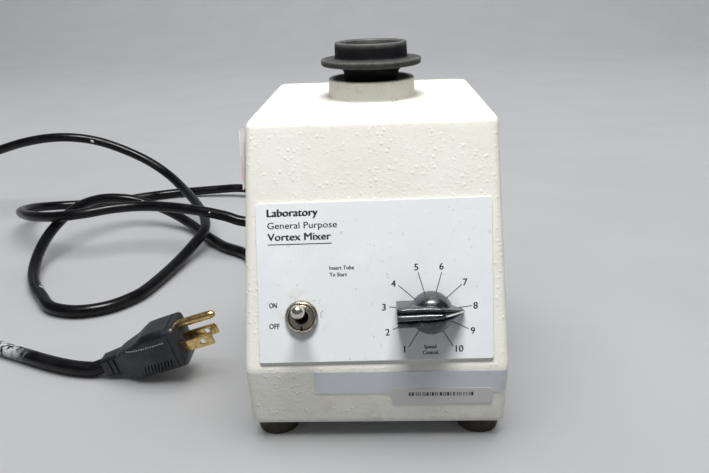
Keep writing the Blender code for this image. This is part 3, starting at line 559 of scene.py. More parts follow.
def tube_shape(radius, low, high, segments=32):
    """Round bar along Z, in millimetres."""
    angles = [2 * pi * i / segments for i in range(segments)]
    return loft([[(radius * MM * cos(a), radius * MM * sin(a), z * MM) for a in angles]
                 for z in (low, high)])


def box_shape(low, high):
    """Block between two corners, in millimetres."""
    (x0, y0, z0), (x1, y1, z1) = ([value * MM for value in corner] for corner in (low, high))
    ring = [(x0, y0), (x1, y0), (x1, y1), (x0, y1)]
    return loft([[(x, y, z) for x, y in ring] for z in (z0, z1)])


def thin_sheet(name, columns, rows, layers, point):
    """Closed sheet with a grid of points on each of two layers, joined round its rim."""
    shape = bmesh.new()
    sides = [[[shape.verts.new(point(i / columns, j / rows, layer)) for j in range(rows + 1)]
              for i in range(columns + 1)] for layer in layers]
    for grid in sides:
        for i in range(columns):
            for j in range(rows):
                shape.faces.new((grid[i][j], grid[i + 1][j], grid[i + 1][j + 1], grid[i][j + 1]))
    rim = [(i, 0) for i in range(columns)] + [(columns, j) for j in range(rows)]
    rim += [(i, rows) for i in range(columns, 0, -1)] + [(0, j) for j in range(rows, 0, -1)]
    under, over = sides
    for (i, j), (m, n) in zip(rim, rim[1:] + rim[:1]):
        shape.faces.new((under[i][j], under[m][n], over[m][n], over[i][j]))
    return mesh_object(name, shape, None, 30)


def settle(obj):
    """Applies the object's modifiers to its mesh."""
    shaped = final_mesh(obj)
    obj.modifiers.clear()
    obj.data = shaped


def cut(obj, shapes, sharp=35):
    """Cuts shapes given as (bmesh, matrix) out of the object's mesh and marks its sharp edges again."""
    tools = []
    for index, (shape, matrix) in enumerate(shapes):
        tool = mesh_object(f"{obj.name}_tool_{index}", shape, matrix)
        modifier = obj.modifiers.new(tool.name, "BOOLEAN")
        modifier.operation = "DIFFERENCE"
        modifier.object = tool
        modifier.solver = "EXACT"
        tools.append(tool)
    settle(obj)
    sharpen(obj.data, sharp)
    for tool in tools:
        bpy.data.objects.remove(tool, do_unlink=True)


def join(name, objects, sharp=None):
    """Joins several meshes into one object, keeping their attributes and materials."""
    bpy.ops.object.select_all(action="DESELECT")
    for obj in objects:
        obj.select_set(True)
    whole = objects[0]
    bpy.context.view_layer.objects.active = whole
    bpy.ops.object.join()
    whole.name = name
    if sharp:
        sharpen(whole.data, sharp)
    return whole


def rounded(obj, width, segments, angle):
    modifier = obj.modifiers.new("edge", "BEVEL")
    modifier.width = width
    modifier.segments = segments
    modifier.limit_method = "ANGLE"
    modifier.angle_limit = radians(angle)
    settle(obj)
    obj.data.shade_smooth()
    sharpen(obj.data, angle)


def dress(obj, material, slot, *nodes, body="housing"):
    """Gives a piece its material and its body, and hides the CAD nodes it stands for; the slot is not used.
    """
    obj.data.materials.clear()
    obj.data.materials.append(material)
    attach(obj, body)
    if nodes:
        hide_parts(*nodes)
    return obj


def rounded_rectangle(x0, x1, y0, y1, radius, steps):
    corners = [(x1 - radius, y0 + radius, -90), (x1 - radius, y1 - radius, 0),
               (x0 + radius, y1 - radius, 90), (x0 + radius, y0 + radius, 180)]
    points = []
    for cx, cy, start in corners:
        for i in range(steps + 1):
            angle = radians(start + 90 * i / steps)
            points.append((cx + radius * cos(angle), cy + radius * sin(angle)))
    return points


# ---- power cord


def cord_line():
    """Even points on the smooth curve through the route, never lower than the cord rests."""
    points = [Vector(p) * MM for p in CORD_ROUTE]
    padded = [2 * points[0] - points[1]] + points + [2 * points[-1] - points[-2]]
    fine = []
    steps = 8
    for i in range(1, len(padded) - 2):
        p0, p1, p2, p3 = padded[i - 1:i + 3]
        for k in range(steps):
            t = k / steps
            bend = (2 * p0 - 5 * p1 + 4 * p2 - p3) * t * t + (3 * p1 - p0 - 3 * p2 + p3) * t ** 3
            point = 0.5 * (2 * p1 + (p2 - p0) * t + bend)
            point.x = max(point.x, low_corner[0] + CORD_D / 2)
            point.y = min(point.y, high_corner[1] - CORD_D / 2)
            point.z = max(point.z, CORD_REST)
            fine.append(point)
    fine.append(points[-1])
    return fine


def make_cord(pvc):
    line = cord_line()
    data = bpy.data.curves.new("mains_cord", "CURVE")
    data.dimensions = "3D"
    data.bevel_depth = CORD_D / 2
    data.bevel_resolution = 7
    data.use_fill_caps = True
    spline = data.splines.new("POLY")
    spline.points.add(len(line) - 1)
    for target, point in zip(spline.points, line):
        target.co = (*point, 1)
    spline.use_smooth = True
    return dress(add_object("mains_cord", data), pvc, "black_pvc", "power_cord"), line


# ---- housing


def body_section(z, inset=0):
    """Half width, front and back of the casting at a height."""
    if z <= BAND_TOP_Z:
        t = (BAND_TOP_Z - z) / (BAND_TOP_Z - BODY_BOTTOM_Z)
        half = BAND_HALF_W + t * (BOTTOM_HALF_W - BAND_HALF_W)
        front, back = FRONT_Y + t * BAND_SETBACK, FRONT_Y + BAND_DEPTH - t * BAND_SETBACK
    else:
        t = (z - BAND_TOP_Z) / SLOPE_RISE
        half = BAND_HALF_W + t * (TOP_HALF_W - BAND_HALF_W)
        front = FRONT_Y + t * SLOPE_SETBACK
        back = FRONT_Y + BAND_DEPTH + t * (TOP_BACK_Y - FRONT_Y - BAND_DEPTH)
    return half - inset, front + inset, back - inset


def body_ring(z, inset=0, radius=CORNER_R):
    half, front, back = body_section(z, inset)
    corner = max(radius - inset, 1 * MM)
    return [(x, y, z) for x, y in rounded_rectangle(-half, half, front, back, corner, 8)]


def make_housing(paint):
    # Rings from the inner ceiling down the inside, round the bottom edge and up the outside
    rings, wear = [], []

    def ring(z, rub=0, inset=0, radius=CORNER_R):
        rings.append(body_ring(z, inset, radius))
        wear.extend([rub] * len(rings[-1]))

    for z in (BODY_TOP_Z - WALL, BAND_TOP_Z, BODY_BOTTOM_Z):
        ring(z, 0, WALL)
    bottom_r = 0.9 * MM
    for k in range(4):
        angle = radians(30 * k)
        ring(BODY_BOTTOM_Z + bottom_r * (1 - cos(angle)), 0.9, bottom_r * (1 - sin(angle)))
    ring(BODY_BOTTOM_Z + 3 * MM, 0.1)
    ring(BAND_TOP_Z - 3.5 * MM)
    for offset, inset in ((-1.6, 0), (-0.9, 0.03), (-0.3, 0.12), (0.3, 0.13), (0.9, 0.04), (1.6, 0)):
        ring(BAND_TOP_Z + offset * MM, 0.55, inset * MM)
    ring(BAND_TOP_Z + 3.5 * MM)
    for k in range(1, 8):
        ring(BAND_TOP_Z + (SLOPE_RISE - 6 * MM) * k / 7)
    for k in range(9):
        angle = radians(90 * k / 8)
        inset = TOP_EDGE_R * (1 - cos(angle))
        ring(BODY_TOP_Z - TOP_EDGE_R * (1 - sin(angle)), 0.6, inset, CORNER_R + inset)
    ring(BODY_TOP_Z, 0, TOP_EDGE_R + 3 * MM, CORNER_R + TOP_EDGE_R + 4 * MM)
    shell = mesh_object("housing_shell", loft(rings), None, 40, wear)
    head = Matrix.Translation((0, HEAD_Y, 0))
    hole, outer = COLLAR_HOLE_R / MM, COLLAR_R / MM
    cut(shell, [
        (tube_shape(hole, 140, 170, 96), head),
        (tube_shape(6.3, -8, 4), slope_frame(*TOGGLE)),
        (tube_shape(4.9, -8, 4), slope_frame(*DIAL)),
        (tube_shape(7, -9, 6), BACK_EXIT),
    ])
    top, rim = BODY_TOP_Z / MM, COLLAR_TOP_Z / MM
    corners = [
        (hole, top - 3.4), (outer + 3.2, top - 3.3), (outer + 3.2, top + 0.02, 0, 0.2),
        (outer, top + 0.25, 2.4, 0.5), (outer - 0.25, rim, 1.5, 0.8), (hole, rim - 0.2, 0.7, 0.7),
        (hole, top - 2),
    ]
    pieces = [shell, lathe("collar_ring", corners, head, 120, True, 6)]
    for x in (-51, 51):
        for y in (-60.8, 70.7):
            boss = mesh_object("boss", tube_shape(6, 12.6, 30), shift(x, y, 0))
            cut(boss, [(tube_shape(2.3, 8, 26, 20), shift(x, y, 0))])
            pieces.append(boss)
    dress(join("housing_shell", pieces, 40), paint, "cream_paint", "housing")


# ---- front panel and its printing

PANEL_TURN = degrees(0.01)  # the printing sits a little askew, as the panel does
PANEL_OUTLINE = [Vector(corner) for corner in ((-55.6, 4.2), (55.8, 5.4), (55.8, 81.6), (-55.6, 80.4))]
PANEL_MIDDLE_V = 43


def make_panel(finish, black):
    points = []
    for i, here in enumerate(PANEL_OUTLINE):
        points += eased(PANEL_OUTLINE[i - 1], here, PANEL_OUTLINE[(i + 1) % 4], 1.2, 4)
    rings = []
    for inset, lift in ((0, 0.25), (0, 1.05), (0.12, 1.2)):
        rings.append([((p.x - copysign(inset, p.x)) * MM,
                       (p.y - copysign(inset, p.y - PANEL_MIDDLE_V)) * MM, lift * MM) for p in points])
    plate = mesh_object("panel_plate", loft(rings), slope_frame(0, 0), 30)
    cut(plate, [(tube_shape(6.3, -3, 4, 48), slope_frame(*TOGGLE)),
                (tube_shape(4.9, -3, 4, 48), slope_frame(*DIAL))])
    dress(plate, finish, "printed_panel", "front_panel")
    make_printing(black)


def lettering(text, u, v, cap, width=None, weight=0.1, centred=False):
    """Flat printed letters, as three copies a weight apart, in millimetres: u, v place the baseline."""
    data = bpy.data.curves.new("print", "FONT")
    data.body = text
    data.resolution_u = 3
    obj = add_object("print", data)
    flat = final_mesh(obj)
    bpy.data.objects.remove(obj, do_unlink=True)
    xs = [p.co.x for p in flat.vertices]
    scale = cap * MM / 0.73
    long = (max(xs) - min(xs)) * scale
    squeeze = width * MM / long if width else 1
    start = -long * squeeze / 2 if centred else 0
    fit = Matrix.Diagonal((scale * squeeze, scale, 1, 1)) @ Matrix.Translation((-min(xs), 0, 0))
    line = slope_frame(u * MM, v * MM, PANEL_TURN)
    copies = []
    for k, side in enumerate((0, 1, -1)):
        lift = PANEL_FRONT + (0.03 + 0.004 * k) * MM
        offset = (start + side * weight * MM, side * weight * 0.5 * MM, lift)
        letters = flat.copy()
        letters.transform(line @ Matrix.Translation(offset) @ fit)
        copies.append(add_object("print", letters))
    return copies


def stroke(a, b, width):
    """Straight printed line between two (u, v) points in millimetres."""
    start, end = Vector(a), Vector(b)
    side = Vector((-(end - start).y, (end - start).x)).normalized() * width / 2
    shape = bmesh.new()
    corners = (start - side, end - side, end + side, start + side)
    lift = PANEL_FRONT + 0.03 * MM
    shape.faces.new([shape.verts.new(slope_point(p.x * MM, p.y * MM, lift)) for p in corners])
    return mesh_object("print", shape)


# Middles of the dial's numbers 1 to 10, in millimetres across and up the slope
DIAL_NUMBERS = ((13.8, 10.3), (5.9, 18.5), (4.4, 30.5), (9.1, 41.7), (20, 49.3),
                (31.8, 49.5), (42.8, 41.9), (47.5, 30.7), (46.1, 18.8), (39.7, 10.3))
DIAL_CENTRE = Vector((26.3, 27.8))
FIRST_MARK, MARK_STEP = -147.6, 32.8  # degrees clockwise from straight up the slope


def make_printing(black):
    parts = []
    for index, (u, v) in enumerate(DIAL_NUMBERS):
        turn = radians(FIRST_MARK + MARK_STEP * index)
        ray = Vector((sin(turn), cos(turn)))
        parts.append(stroke(DIAL_CENTRE + ray * 8, DIAL_CENTRE + ray * 19.6, 0.38))
        parts += lettering(str(index + 1), u, v - 1.65, 3.3, weight=0.11, centred=True)
    for line in (
        ("ON", -50.1, 30.7, 2.6, 3.5), ("OFF", -50.4, 20.7, 2.6, 4.9),
        ("Insert Tube", -21, 48.6, 1.9, 11.6, 0.08), ("To Start", -21, 45.4, 1.9, 8.2, 0.08),
        ("Speed", 25.9, 10.4, 1.9, 5.6, 0.09, True), ("Control", 25.9, 7.6, 1.9, 7, 0.09, True),
        ("Laboratory", -50, 74.2, 3.7, 24, 0.24), ("General Purpose", -50, 68.4, 3.2, 33, 0.06),
        ("Vortex Mixer", -50, 62.8, 3.6, 30, 0.17),
    ):
        parts += lettering(*line)
    # The heading's underline, then four scratches
    for a, b, width in (((-50.1, 60.9), (-19.6, 61.25), 0.45),
                        ((-25.7, 28.4), (-25.5, 25.6), 0.22), ((-24.9, 29.2), (-24.8, 28.3), 0.18),
                        ((-1.2, 17), (-0.4, 15.8), 0.12), ((2.4, 12.6), (2.9, 11), 0.1)):
        parts.append(stroke(a, b, width))
    dress(join("panel_printing", parts), black, "printed_panel")


# ---- labels stuck on the casting


def band_surface(s, z, lift):
    """Point outside the base band, s along it from the front's middle to the right, in millimetres."""
    side = 1 if s >= 0 else -1
    s, z, lift = abs(s) * MM, z * MM, lift * MM
    half, front, _ = body_section(z)
    flat = half - CORNER_R
    if s <= flat:
        return Vector((side * s, front - lift, z))
    turn = min((s - flat) / CORNER_R, pi / 2)
    along = max(s - flat - CORNER_R * pi / 2, 0)
    x = flat + (CORNER_R + lift) * sin(turn)
    y = front + CORNER_R - (CORNER_R + lift) * cos(turn) + along
    return Vector((side * x, y, z))


def band_label(name, s0, s1, z0, z1, lift, radius, finish):
    """Label with rounded corners wrapped on the band, in millimetres."""
    def point(along, up, height):
        s = s0 + (s1 - s0) * along
        over = min(max(radius - min(s - s0, s1 - s), 0), radius)
        pull = radius - sqrt(radius ** 2 - over ** 2)
        return band_surface(s, z0 + pull + (z1 - z0 - 2 * pull) * up, height)

    sheet = thin_sheet(name, 48, 10, (lift, lift + 0.12), point)
    dress(sheet, finish, "printed_panel")


def peeling(along, up, thick):
    """Point on the side label, whose front edge has lifted off the left wall, most at the top."""
    z = (121.5 + 27.5 * up) * MM
    half, front, _ = body_section(z)
    lifted = 3.2 * max(0, 1 - along * 1.7) ** 2 * (0.35 + 0.65 * up)
    return (-half - (0.08 + lifted + thick) * MM, front + CORNER_R + (0.3 + along * 30) * MM, z)


def make_labels(strip_paper, label_paper, black, side_paper):
    band_label("label_strip", -29.9, 62.8, 26.4, 38.6, 0.1, 0.3, strip_paper)
    band_label("label_small", 7.2, 55.9, 20.6, 29, 0.26, 1.6, label_paper)
    bars = []
    s = 15.6
    while s < 46:
        width = random.choice((0.45, 0.45, 0.8, 1.1))
        shape = bmesh.new()
        corners = ((s, 24.6), (s + width, 24.6), (s + width, 26.7), (s, 26.7))
        shape.faces.new([shape.verts.new(band_surface(a, b, 0.41)) for a, b in corners])
        bars.append(mesh_object("bar", shape))
        s += width + random.choice((0.5, 0.5, 0.9))
    dress(join("label_bars", bars), black, "printed_panel")
    dress(thin_sheet("side_label", 16, 12, (0, 0.15), peeling), side_paper, "printed_panel")


# ---- cup


def make_cup(rubber):
    rim, wall = FLANGE_R / MM, CUP_R / MM
    brim, top, floor = FLANGE_TOP_Z / MM, CUP_TOP_Z / MM - 0.1, 176.5
    # A corner's fourth value is its wear; the rim top's full wear also carries a painted highlight.
    corners = [
        (8.3, 168.3), (8.3, 146, 0.5), (11.5, 146, 0.5), (14.2, COLLAR_TOP_Z / MM, 4),
        (15.3, 168.6, 1.5), (17.8, 170.4, 1.5), (rim - 0.3, brim - 3.4, 0.8, 0.3),
        (rim - 0.1, brim - 1.4, 0, 0.35), (rim, brim - 0.2, 0.8, 0.95), (rim - 1.8, brim - 0.05, 0, 0.55),
        (wall + 1, brim + 0.1, 0, 0.4), (wall + 0.1, brim + 0.3, 0.7, 0.12), (wall, brim + 1.8),
        (wall - 0.1, top - 3, 0, 0.02), (wall - 0.15, top - 1.9, 0, 0.3), (wall - 0.2, top, 1.1, 1),
        (wall - 2.4, top, 0.9, 1), (wall - 3.4, top - 1.5, 0.5, 0.25), (wall - 4.6, top - 3.2, 1.6, 0.08),
        (11.5, floor + 1.6, 3, 0.1), (4, floor, 2, 0.25), (0.2, floor, 0, 0.25), (0.2, 168.3),
    ]
    cup = lathe("rubber_cup_head", corners, Matrix.Translation((0, CUP_Y, 0)), 128, True, 6, 0.04)
    dress(cup, rubber, "black_rubber", "rubber_cup", body="cup")


# ---- toggle


def make_toggle(nickel):
    place = slope_frame(*TOGGLE)
    nut = [
        (6.15, 1.5, 0, 0.1), (7.8, 1.5, 0.2), (7.85, 2.7, 0.6), (7.3, 3.5, 0.5, 0.15),
        (6.9, 3.8, 0.3, 0.9), (6.4, 3.8, 0.3, 0.9), (6.15, 3.2, 0.2, 0.3),
    ]
    ring = lathe("toggle_dress_nut", nut, place, closed=True)
    dress(ring, nickel, "nickel", "toggle_nut")
    pivot = place @ shift(0, 0, -2.6) @ turned(-TOGGLE_TILT, "X")
    lever = [
        (0.05, -2.7), (1.9, -2.3, 1.2), (2.8, 0, 1.6), (1.4, 2.9, 1.2), (1.55, 6, 1.5, 0.1),
        (2.5, 15, 3, 0.5), (3.15, 18.4, 1.4, 0.8), (3.15, 20.4, 1.3, 1), (2, 22.3, 1.2, 1),
        (0.05, 22.75, 0, 1),
    ]
    bat = lathe("toggle_bat_lever", lever, pivot, 64, steps=6, smooth=60)
    dress(bat, nickel, "nickel", "toggle_lever", body="toggle_lever")


# ---- speed knob

# The pointer bar, in millimetres: the height of its foot, and the half width and height of its top
BAR_FOOT, BAR_HALF, BAR_HEIGHT = 1.9, 4.3, 16.2
# Two grooves along the bar's top: distance from its middle and depth
BAR_GROOVE = ((2.95, 0), (2.8, 0.3), (2.6, 1.4), (2.4, 1.75), (2, 1.75), (1.7, 1.5), (1.45, 0.9),
              (1.1, 0.3), (0.6, -0.03))


def bar_station(y):
    """Foot half width, top half width and height of the pointer bar at a place along it."""
    if y <= -2:
        return 6, BAR_HALF, BAR_HEIGHT
    narrow = 1 - min((y + 2) / 17.6, 1) ** 1.5
    drop = max(0, (y - 4.5) / 11.1)
    return 0.5 + 5.5 * narrow, 0.3 + 4 * narrow, BAR_HEIGHT - 12.4 * drop ** 1.35


def bar_ring(y, scale=1, shrink=0):
    foot, top, height = bar_station(y)
    foot, top, height = foot * scale, top * scale, height - shrink
    narrow = top / BAR_HALF
    side = [
        (foot, BAR_FOOT), (foot - 0.05 * narrow, BAR_FOOT + 0.8),
        (top + (foot - top) * 0.35, BAR_FOOT + (height - BAR_FOOT) * 0.6),
        (top + 0.15 * narrow, height - 1 * narrow), (top - 0.05 * narrow, height - 0.45 * narrow),
        (top - 0.45 * narrow, height - 0.05 * narrow), (top - 0.8 * narrow, height),
    ]
    side += [(x * narrow, height - depth * min(narrow, 1)) for x, depth in BAR_GROOVE]
    ring = side + [(0, height + 0.16 * narrow)] + [(-x, z) for x, z in reversed(side)]
    return [(x * MM, y * MM, z * MM) for x, z in ring]


def make_knob(gloss, white):
    place = slope_frame(*DIAL, POINTER_TURN)
    stations = [(-16.2, 0.93, 0.45), (-16.05, 0.97, 0.15), (-15.7,), (-12,), (-6,)]
    stations += [(-2 + 17.3 * k / 26,) for k in range(27)]
    stations.append((15.6, 0.7, 0.2))
    bar = mesh_object("bar", loft([bar_ring(*s) for s in stations]), place, 42)
    hub_corners = [
        (0.3, 1.9), (10.1, 1.9, 0.3), (10.35, 3.2, 0.6), (9.9, 6.4, 2),
        (8.5, 10.2, 3), (5.6, 12.9, 3), (0.3, 13.6),
    ]
    hub = lathe("hub", hub_corners, place, steps=8, smooth=60)
    cut(bar, [(tube_shape(1.9, 0, 9, 24), place @ shift(0, -20, 9.4) @ turned(-90, "X"))])
    cut(hub, [(tube_shape(3.3, 1, 13.1), place)])
    knob = join("pointer_knob", [bar, hub])
    knob.data.shade_smooth()
    sharpen(knob.data, 42)
    dress(knob, gloss, "knob_plastic", "speed_knob", body="speed_knob")
    # Painted line down the nose, lying on the bar's crown
    shape = bmesh.new()
    rows = []
    for k in range(15):
        y = 5.8 + 9.5 * k / 14
        _, top, height = bar_station(y)
        wide = min(0.42, 0.75 * top) * min(1, 0.45 + k * 0.2)
        crown = height + 0.16 * top / BAR_HALF + 0.07
        rows.append([shape.verts.new(place @ Vector((x * MM, y * MM, z * MM)))
                     for x, z in ((-wide, crown - 0.05), (0, crown), (wide, crown - 0.05))])
    for a, b in zip(rows, rows[1:]):
        for i in range(2):
            shape.faces.new((a[i], a[i + 1], b[i + 1], b[i]))
    dress(mesh_object("pointer_line", shape, None, 60), white, "knob_plastic", body="speed_knob")


# ---- cord fittings


def make_relief(pvc):
    corners = [(4.6, -7), (6.6, -7, 0.6), (6.6, 1, 0.2), (9, 1, 0.5, 0.2),
               (9, 3.6, 0.9, 0.4), (7.3, 4.4, 0.6)]
    for k in range(8):
        z = 7 + 3.7 * k
        r = 6.9 - 0.21 * k
        corners += [(r, z, 0.4, 0.3), (r - 0.1, z + 2.3, 0.4, 0.3), (r - 0.55, z + 2.5, 0.2),
                    (r - 0.6, z + 3.5, 0.2)]
    corners += [(5.2, 36.4, 0.2, 0.2), (4.6, 36.4)]
    relief = lathe("cord_strain_boot", corners, BACK_EXIT, 64, True, 3)
    return dress(relief, pvc, "black_pvc", "strain_relief")


# Sections along the plug from its cord end: distance to the face, half width, low and high edges, in mm
PLUG_SECTIONS = [
    (-51, 5, -5, 5), (-50.4, 5.6, -5.6, 5.6), (-45.5, 6, -5.9, 6), (-39.6, 6.5, -6.3, 6.5),
    (-39, 6.9, -7.2, 7), (-37, 7.6, -8, 7.8), (-33, 9.4, -9.1, 8.9), (-28, 11.4, -10, 10.2),
    (-23.5, 12, -10.2, 12.6), (-19, 12.5, -10.4, 14.8), (-13, 12.5, -10.4, 15.2),
    (-4.4, 12.5, -10.4, 15.5), (-4.2, 12, -9.9, 15), (-3.4, 12, -9.9, 15),
    (-3.2, 12.5, -10.4, 15.5), (-1.2, 12.5, -10.4, 15.5), (-0.3, 12.1, -10, 15.1), (0, 11.5, -9.5, 14.5),
]
DOT_HEIGHT = 8.3
BLADE_SPACING = 12.7


def plug_corner(half, low, high):
    return min(half, (high - low) / 2) * 0.34


def plug_side(x, z):
    """How far out the moulding's side is at a distance along it and a height."""
    a, b = next(pair for pair in zip(PLUG_SECTIONS, PLUG_SECTIONS[1:]) if pair[0][0] <= x <= pair[1][0])
    part = (x - a[0]) / (b[0] - a[0])
    half, low, high = (p + (q - p) * part for p, q in zip(a[1:], b[1:]))
    radius = plug_corner(half, low, high)
    over = max(z - (high - radius), 0)
    return half - radius + sqrt(max(radius ** 2 - over ** 2, 0))


def make_plug(pvc, brass):
    place = Matrix.Translation(PLUG_FACE) @ turned(PLUG_HEADING, "Z") @ turned(-PLUG_PITCH, "Y")
    rings = []
    for x, half, low, high in PLUG_SECTIONS:
        corner = plug_corner(half, low, high) * MM
        outline = rounded_rectangle(-half * MM, half * MM, low * MM, high * MM, corner, 6)
        rings.append([(x * MM, y, z) for y, z in outline])
    body = mesh_object("plug_moulding", loft(rings), place, 32)
    grips, dots = [], []
    for side in (-1, 1):
        y0, y1 = sorted((side * 11.3, side * 14))
        for k in range(9):
            leaning = place @ shift(-24 + 2 * k, 0, -5.9) @ Matrix.Rotation(0.22, 4, "Y")
            grips.append((box_shape((-0.5, y0, -3.4), (0.5, y1, 3.4)), leaning))
        y0, y1 = sorted((side * 5.1, side * 8))
        for x in (-46, -42.6):
            grips.append((box_shape((x, y0, -4.6), (x + 1.3, y1, 4.6)), place))
    cut(body, grips, 32)
    for side in (-1, 1):
        for k in range(17):
            spot = bmesh.new()
            bmesh.ops.create_icosphere(spot, subdivisions=2, radius=0.5 * MM)
            x = -31 + 1.45 * k
            where = place @ shift(x, side * plug_side(x, DOT_HEIGHT), DOT_HEIGHT)
            dots.append(mesh_object("dot", spot, where, wear=[1] * len(spot.verts)))
    made = [dress(join("plug_moulding", [body, *dots], 32), pvc, "black_pvc", "plug_body")]
    for near, side in (("near", -1), ("far", 1)):
        y = side * BLADE_SPACING / 2
        slab = box_shape((-1, y - 0.75, -3.2), (18.2, y + 0.75, 3.2))
        blade = mesh_object(f"plug_{near}_blade", slab, place)
        cuts = [(tube_shape(1.65, -3, 3), place @ shift(12, y, 0) @ turned(90, "X"))]
        for z in (-4.6, 4.6):
            cuts.append((box_shape((16.9, y - 2, z - 1.6), (20, y + 2, z + 1.6)), place))
        cut(blade, cuts)
        rounded(blade, 0.28 * MM, 2, 50)
        made.append(dress(blade, brass, "brass", f"plug_blade_{near}"))
    axis = place @ shift(0, 0, 11.9) @ turned(90, "Y")
    corners = [(0.1, -1), (2.4, -1), (2.4, 20, 1.2, 0.3), (1.6, 22.3, 0.8, 0.6),
               (0.1, 22.5, 0, 0.6)]
    pin = lathe("plug_earth_pin", corners, axis, 48, steps=5, smooth=60)
    cut(pin, [(box_shape((-3, -0.25, 6), (-1.2, 0.25, 19)), axis)], 60)
    made.append(dress(pin, brass, "brass", "plug_ground_pin"))
    return made


# ---- carriage springs


def make_springs(steel):
    """Four compression springs under the motor carriage, at one fixed length."""
    wire, coil, turns, per_turn = 0.8 * MM, 5.2 * MM, 5, 32
    low, high = SPRING_LOW_Z, SPRING_HIGH_Z
    for node, dx, dy in zip(four("spring"), (-1, 1, -1, 1), (-1, -1, 1, 1)):
        foot = Vector((dx * POST_OFFSET, HEAD_Y + dy * POST_OFFSET, 0))
        rings = []
        for i in range(turns * per_turn + 1):
            angle = 2 * pi * i / per_turn
            outward = Vector((cos(angle), sin(angle), 0))
            rise = low + wire + (high - low - 2 * wire) * i / (turns * per_turn)
            middle = foot + outward * coil + Vector((0, 0, rise))
            phases = [2 * pi * k / 10 for k in range(10)]
            rings.append([middle + outward * (wire * cos(p)) + Vector((0, 0, wire * sin(p))) for p in phases])
        spring = mesh_object(f"carriage_{node}", loft(rings), None, 60)
        dress(spring, steel, "nickel", node)
        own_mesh(spring)


# ---- floor and light


def make_stage():
    """Pale floor that curves up into a wall well behind the object."""
    f = Finish("pale_floor", Specular_IOR_Level=0.3)
    grain = f.patches(9, 4, 0.5, 0.3, 0.7)
    f.bump(f.noise(600, 2), 0.02, 0.3)
    pale = f.done(f.mix(grain, (0.8, 0.8, 0.81), (0.83, 0.83, 0.84)), grain, 0.55, 0.55)
    shape = bmesh.new()
    start, radius = 1.6, 0.8
    path = [(-3, 0), (start, 0)]
    for step in range(1, 10):
        angle = radians(10 * step)
        path.append((start + radius * sin(angle), radius - radius * cos(angle)))
    path.append((start + radius, 3.5))
    rows = [[shape.verts.new((x, y, z)) for x in (-4, 4)] for y, z in path]
    for a, b in zip(rows, rows[1:]):
        shape.faces.new((a[0], a[1], b[1], b[0]))
    floor = mesh_object("studio_floor", shape, None, 60)
    floor.data.materials.append(pale)
    floor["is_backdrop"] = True
    return floor


def area_light(name, place, aim, size, power, colour):
    data = bpy.data.lights.new(name, "AREA")
    data.shape = "RECTANGLE"
    data.size, data.size_y = size
    data.energy = power
    data.color = colour
    light = add_object(name, data)
    light.location = place
    light.rotation_euler = (Vector(aim) - Vector(place)).to_track_quat("-Z", "Y").to_euler()
    return light


def light_only(light, name, objects):
    """Makes a light fall on the given objects and on nothing else."""
    receivers = bpy.data.collections.new(name)
    for obj in objects:
        receivers.objects.link(obj)
    light.light_linking.receiver_collection = receivers


def make_lights(floor):
    """Overhead key on the object alone, a wash on the floor alone, soft room light on both."""
    key = area_light("key", (0, -0.27, 1.25), (0, -0.01, 0.08), (0.55, 0.2), 22.5, (1, 0.99, 0.965))
    light_only(key, "lit_by_key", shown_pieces())
    area_light("overhead", (0.1, -0.1, 2), (0, 0.1, 0), (2.2, 1.4), 3.5, (0.98, 0.99, 1))
    area_light("front_fill", (0.3, -1.9, 0.9), (0, 0, 0.08), (1.6, 0.8), 0.4, (0.97, 0.985, 1))
    wash = area_light("ground_wash", (0, 0.2, 2.4), (0, 0.4, 0), (3, 2.4), 42, (0.98, 0.99, 1))
    light_only(wash, "lit_by_ground_light", [floor])
    world = bpy.data.worlds.new("soft_room")
    world.use_nodes = True
    background = world.node_tree.nodes["Background"]
    background.inputs["Color"].default_value = (0.94, 0.97, 1, 1)
    background.inputs["Strength"].default_value = 0.09
    bpy.context.scene.world = world


# ---- carried-over CAD nodes


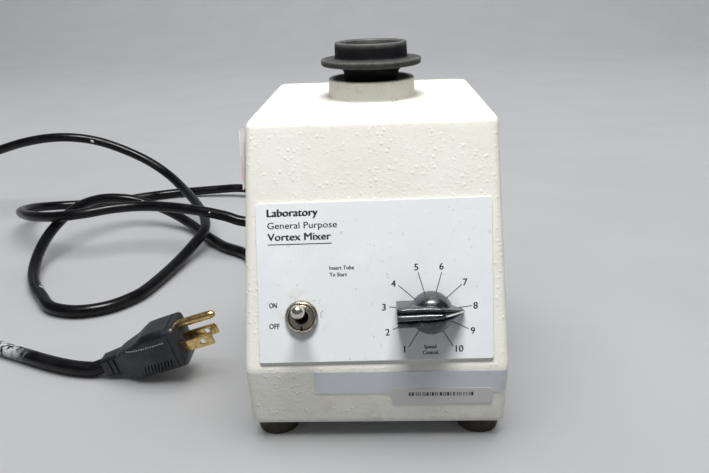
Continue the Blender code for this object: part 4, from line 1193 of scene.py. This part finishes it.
def dress_cad(nodes):
    """Gives every CAD node that is still shown its material."""
    steel = metal("zinc_plated_steel", (0.56, 0.57, 0.58), (0.34, 0.33, 0.3), 0.34)
    bright = metal("polished_steel", (0.7, 0.7, 0.7), (0.52, 0.5, 0.47), 0.16)
    aluminium = metal("machined_aluminium", (0.72, 0.73, 0.74), (0.55, 0.55, 0.55), 0.38, scratch=0.3)
    iron = metal("rough_cast_iron", (0.13, 0.13, 0.14), (0.07, 0.055, 0.045), 0.62, 0.2, 400, 0.5)
    bronze = metal("oiled_bronze", (0.52, 0.35, 0.16), (0.33, 0.2, 0.09), 0.36, 0.15, 600)
    nylon = moulded("natural_nylon", (0.72, 0.71, 0.66), (0.6, 0.58, 0.52), 0.42)
    phenolic = moulded("dark_phenolic", (0.045, 0.024, 0.016), (0.085, 0.055, 0.04), 0.38)
    red = moulded("red_plastic", (0.5, 0.035, 0.028), (0.36, 0.06, 0.05), 0.3)
    sleeve = moulded("blue_sleeve", (0.035, 0.09, 0.3), (0.07, 0.13, 0.33), 0.28)
    foot = moulded("foot_rubber", (0.05, 0.043, 0.03), (0.115, 0.1, 0.075), 0.62, 260, 0.08, 0.35)
    groups = (
        (steel, "steel", ["base_plate", "motor_plate", "switch_bracket", *four("base_screw")]),
        (steel, "nickel", ["knob_set_screw"]),
        (iron, "iron", ["ballast_block", "eccentric_crank"]),
        (aluminium, "aluminium",
         ["motor_lower_bracket", "motor_upper_bracket", "board_bracket", "heat_sink"]),
        (bright, "nickel", ["lower_bearing", "upper_bearing", "motor_shaft", "potentiometer_nut",
                            "potentiometer_shaft", *four("guide_post")]),
        (laminated(), "steel", ["stator", "rotor"]),
        (wound(), "copper", ["field_coil_left", "field_coil_right"]),
        (nylon, "nylon", ["cooling_fan", "cup_hub"]),
        (bronze, "bronze", ["crank_bush"]),
        (phenolic, "phenolic", ["start_switch", "potentiometer", "triac"]),
        (toggle_body_finish(), "phenolic", ["toggle_switch"]),
        (red, "red_plastic", ["start_button"]),
        (board(), "circuit_board", ["control_board"]),
        (sleeve, "capacitor_sleeve", ["capacitor"]),
        (foot, "foot_rubber", four("foot")),
    )
    finishes = {name: (material, slot) for material, slot, names in groups for name in names}
    for name, node in nodes.items():
        if not node.hide_render:
            material, slot = finishes[name]
            node.data.materials.clear()
            node.data.materials.append(material)


def main():
    cord, line = make_cord(cord_pvc())
    relief = make_relief(moulded("boot_pvc", (0.016, 0.016, 0.018), (0.05, 0.05, 0.052), 0.42, 300))
    brass = metal("worn_brass", (0.8, 0.6, 0.26), (0.5, 0.34, 0.13), 0.2, 0.16, 420, 0.2)
    plug_pvc = moulded("plug_pvc", (0.006, 0.0068, 0.0085), (0.034, 0.037, 0.044), 0.3, 260, 0.05, 0.5,
                       spots=0.4, rubbed=(0.16, 0.17, 0.19))
    plug = make_plug(plug_pvc, brass)
    make_housing(wrinkle_paint())
    black = ink()
    make_panel(panel_print_base(), black)
    make_labels(paper("strip_film", (0.66, 0.69, 0.74)), paper("label_stock", (0.62, 0.615, 0.61)), black,
                paper("side_stock", (0.84, 0.84, 0.86), fringe=(0.82, 0.48, 0.5)))
    make_cup(cup_rubber())
    make_toggle(metal("tarnished_nickel", (0.74, 0.69, 0.61), (0.2, 0.165, 0.12), 0.24, 0.22, 520, 0.2, True))
    make_knob(knob_gloss(), moulded("pointer_white", (0.8, 0.8, 0.78), (0.6, 0.6, 0.58), 0.4))
    make_springs(metal("spring_wire", (0.66, 0.66, 0.66), (0.42, 0.41, 0.39), 0.22, 0.15, 500, 0.2))
    dress_cad(frame["nodes"])
    make_lights(make_stage())
    bpy.context.scene.view_settings.view_transform = "Standard"
    bpy.context.view_layer.update()


main()
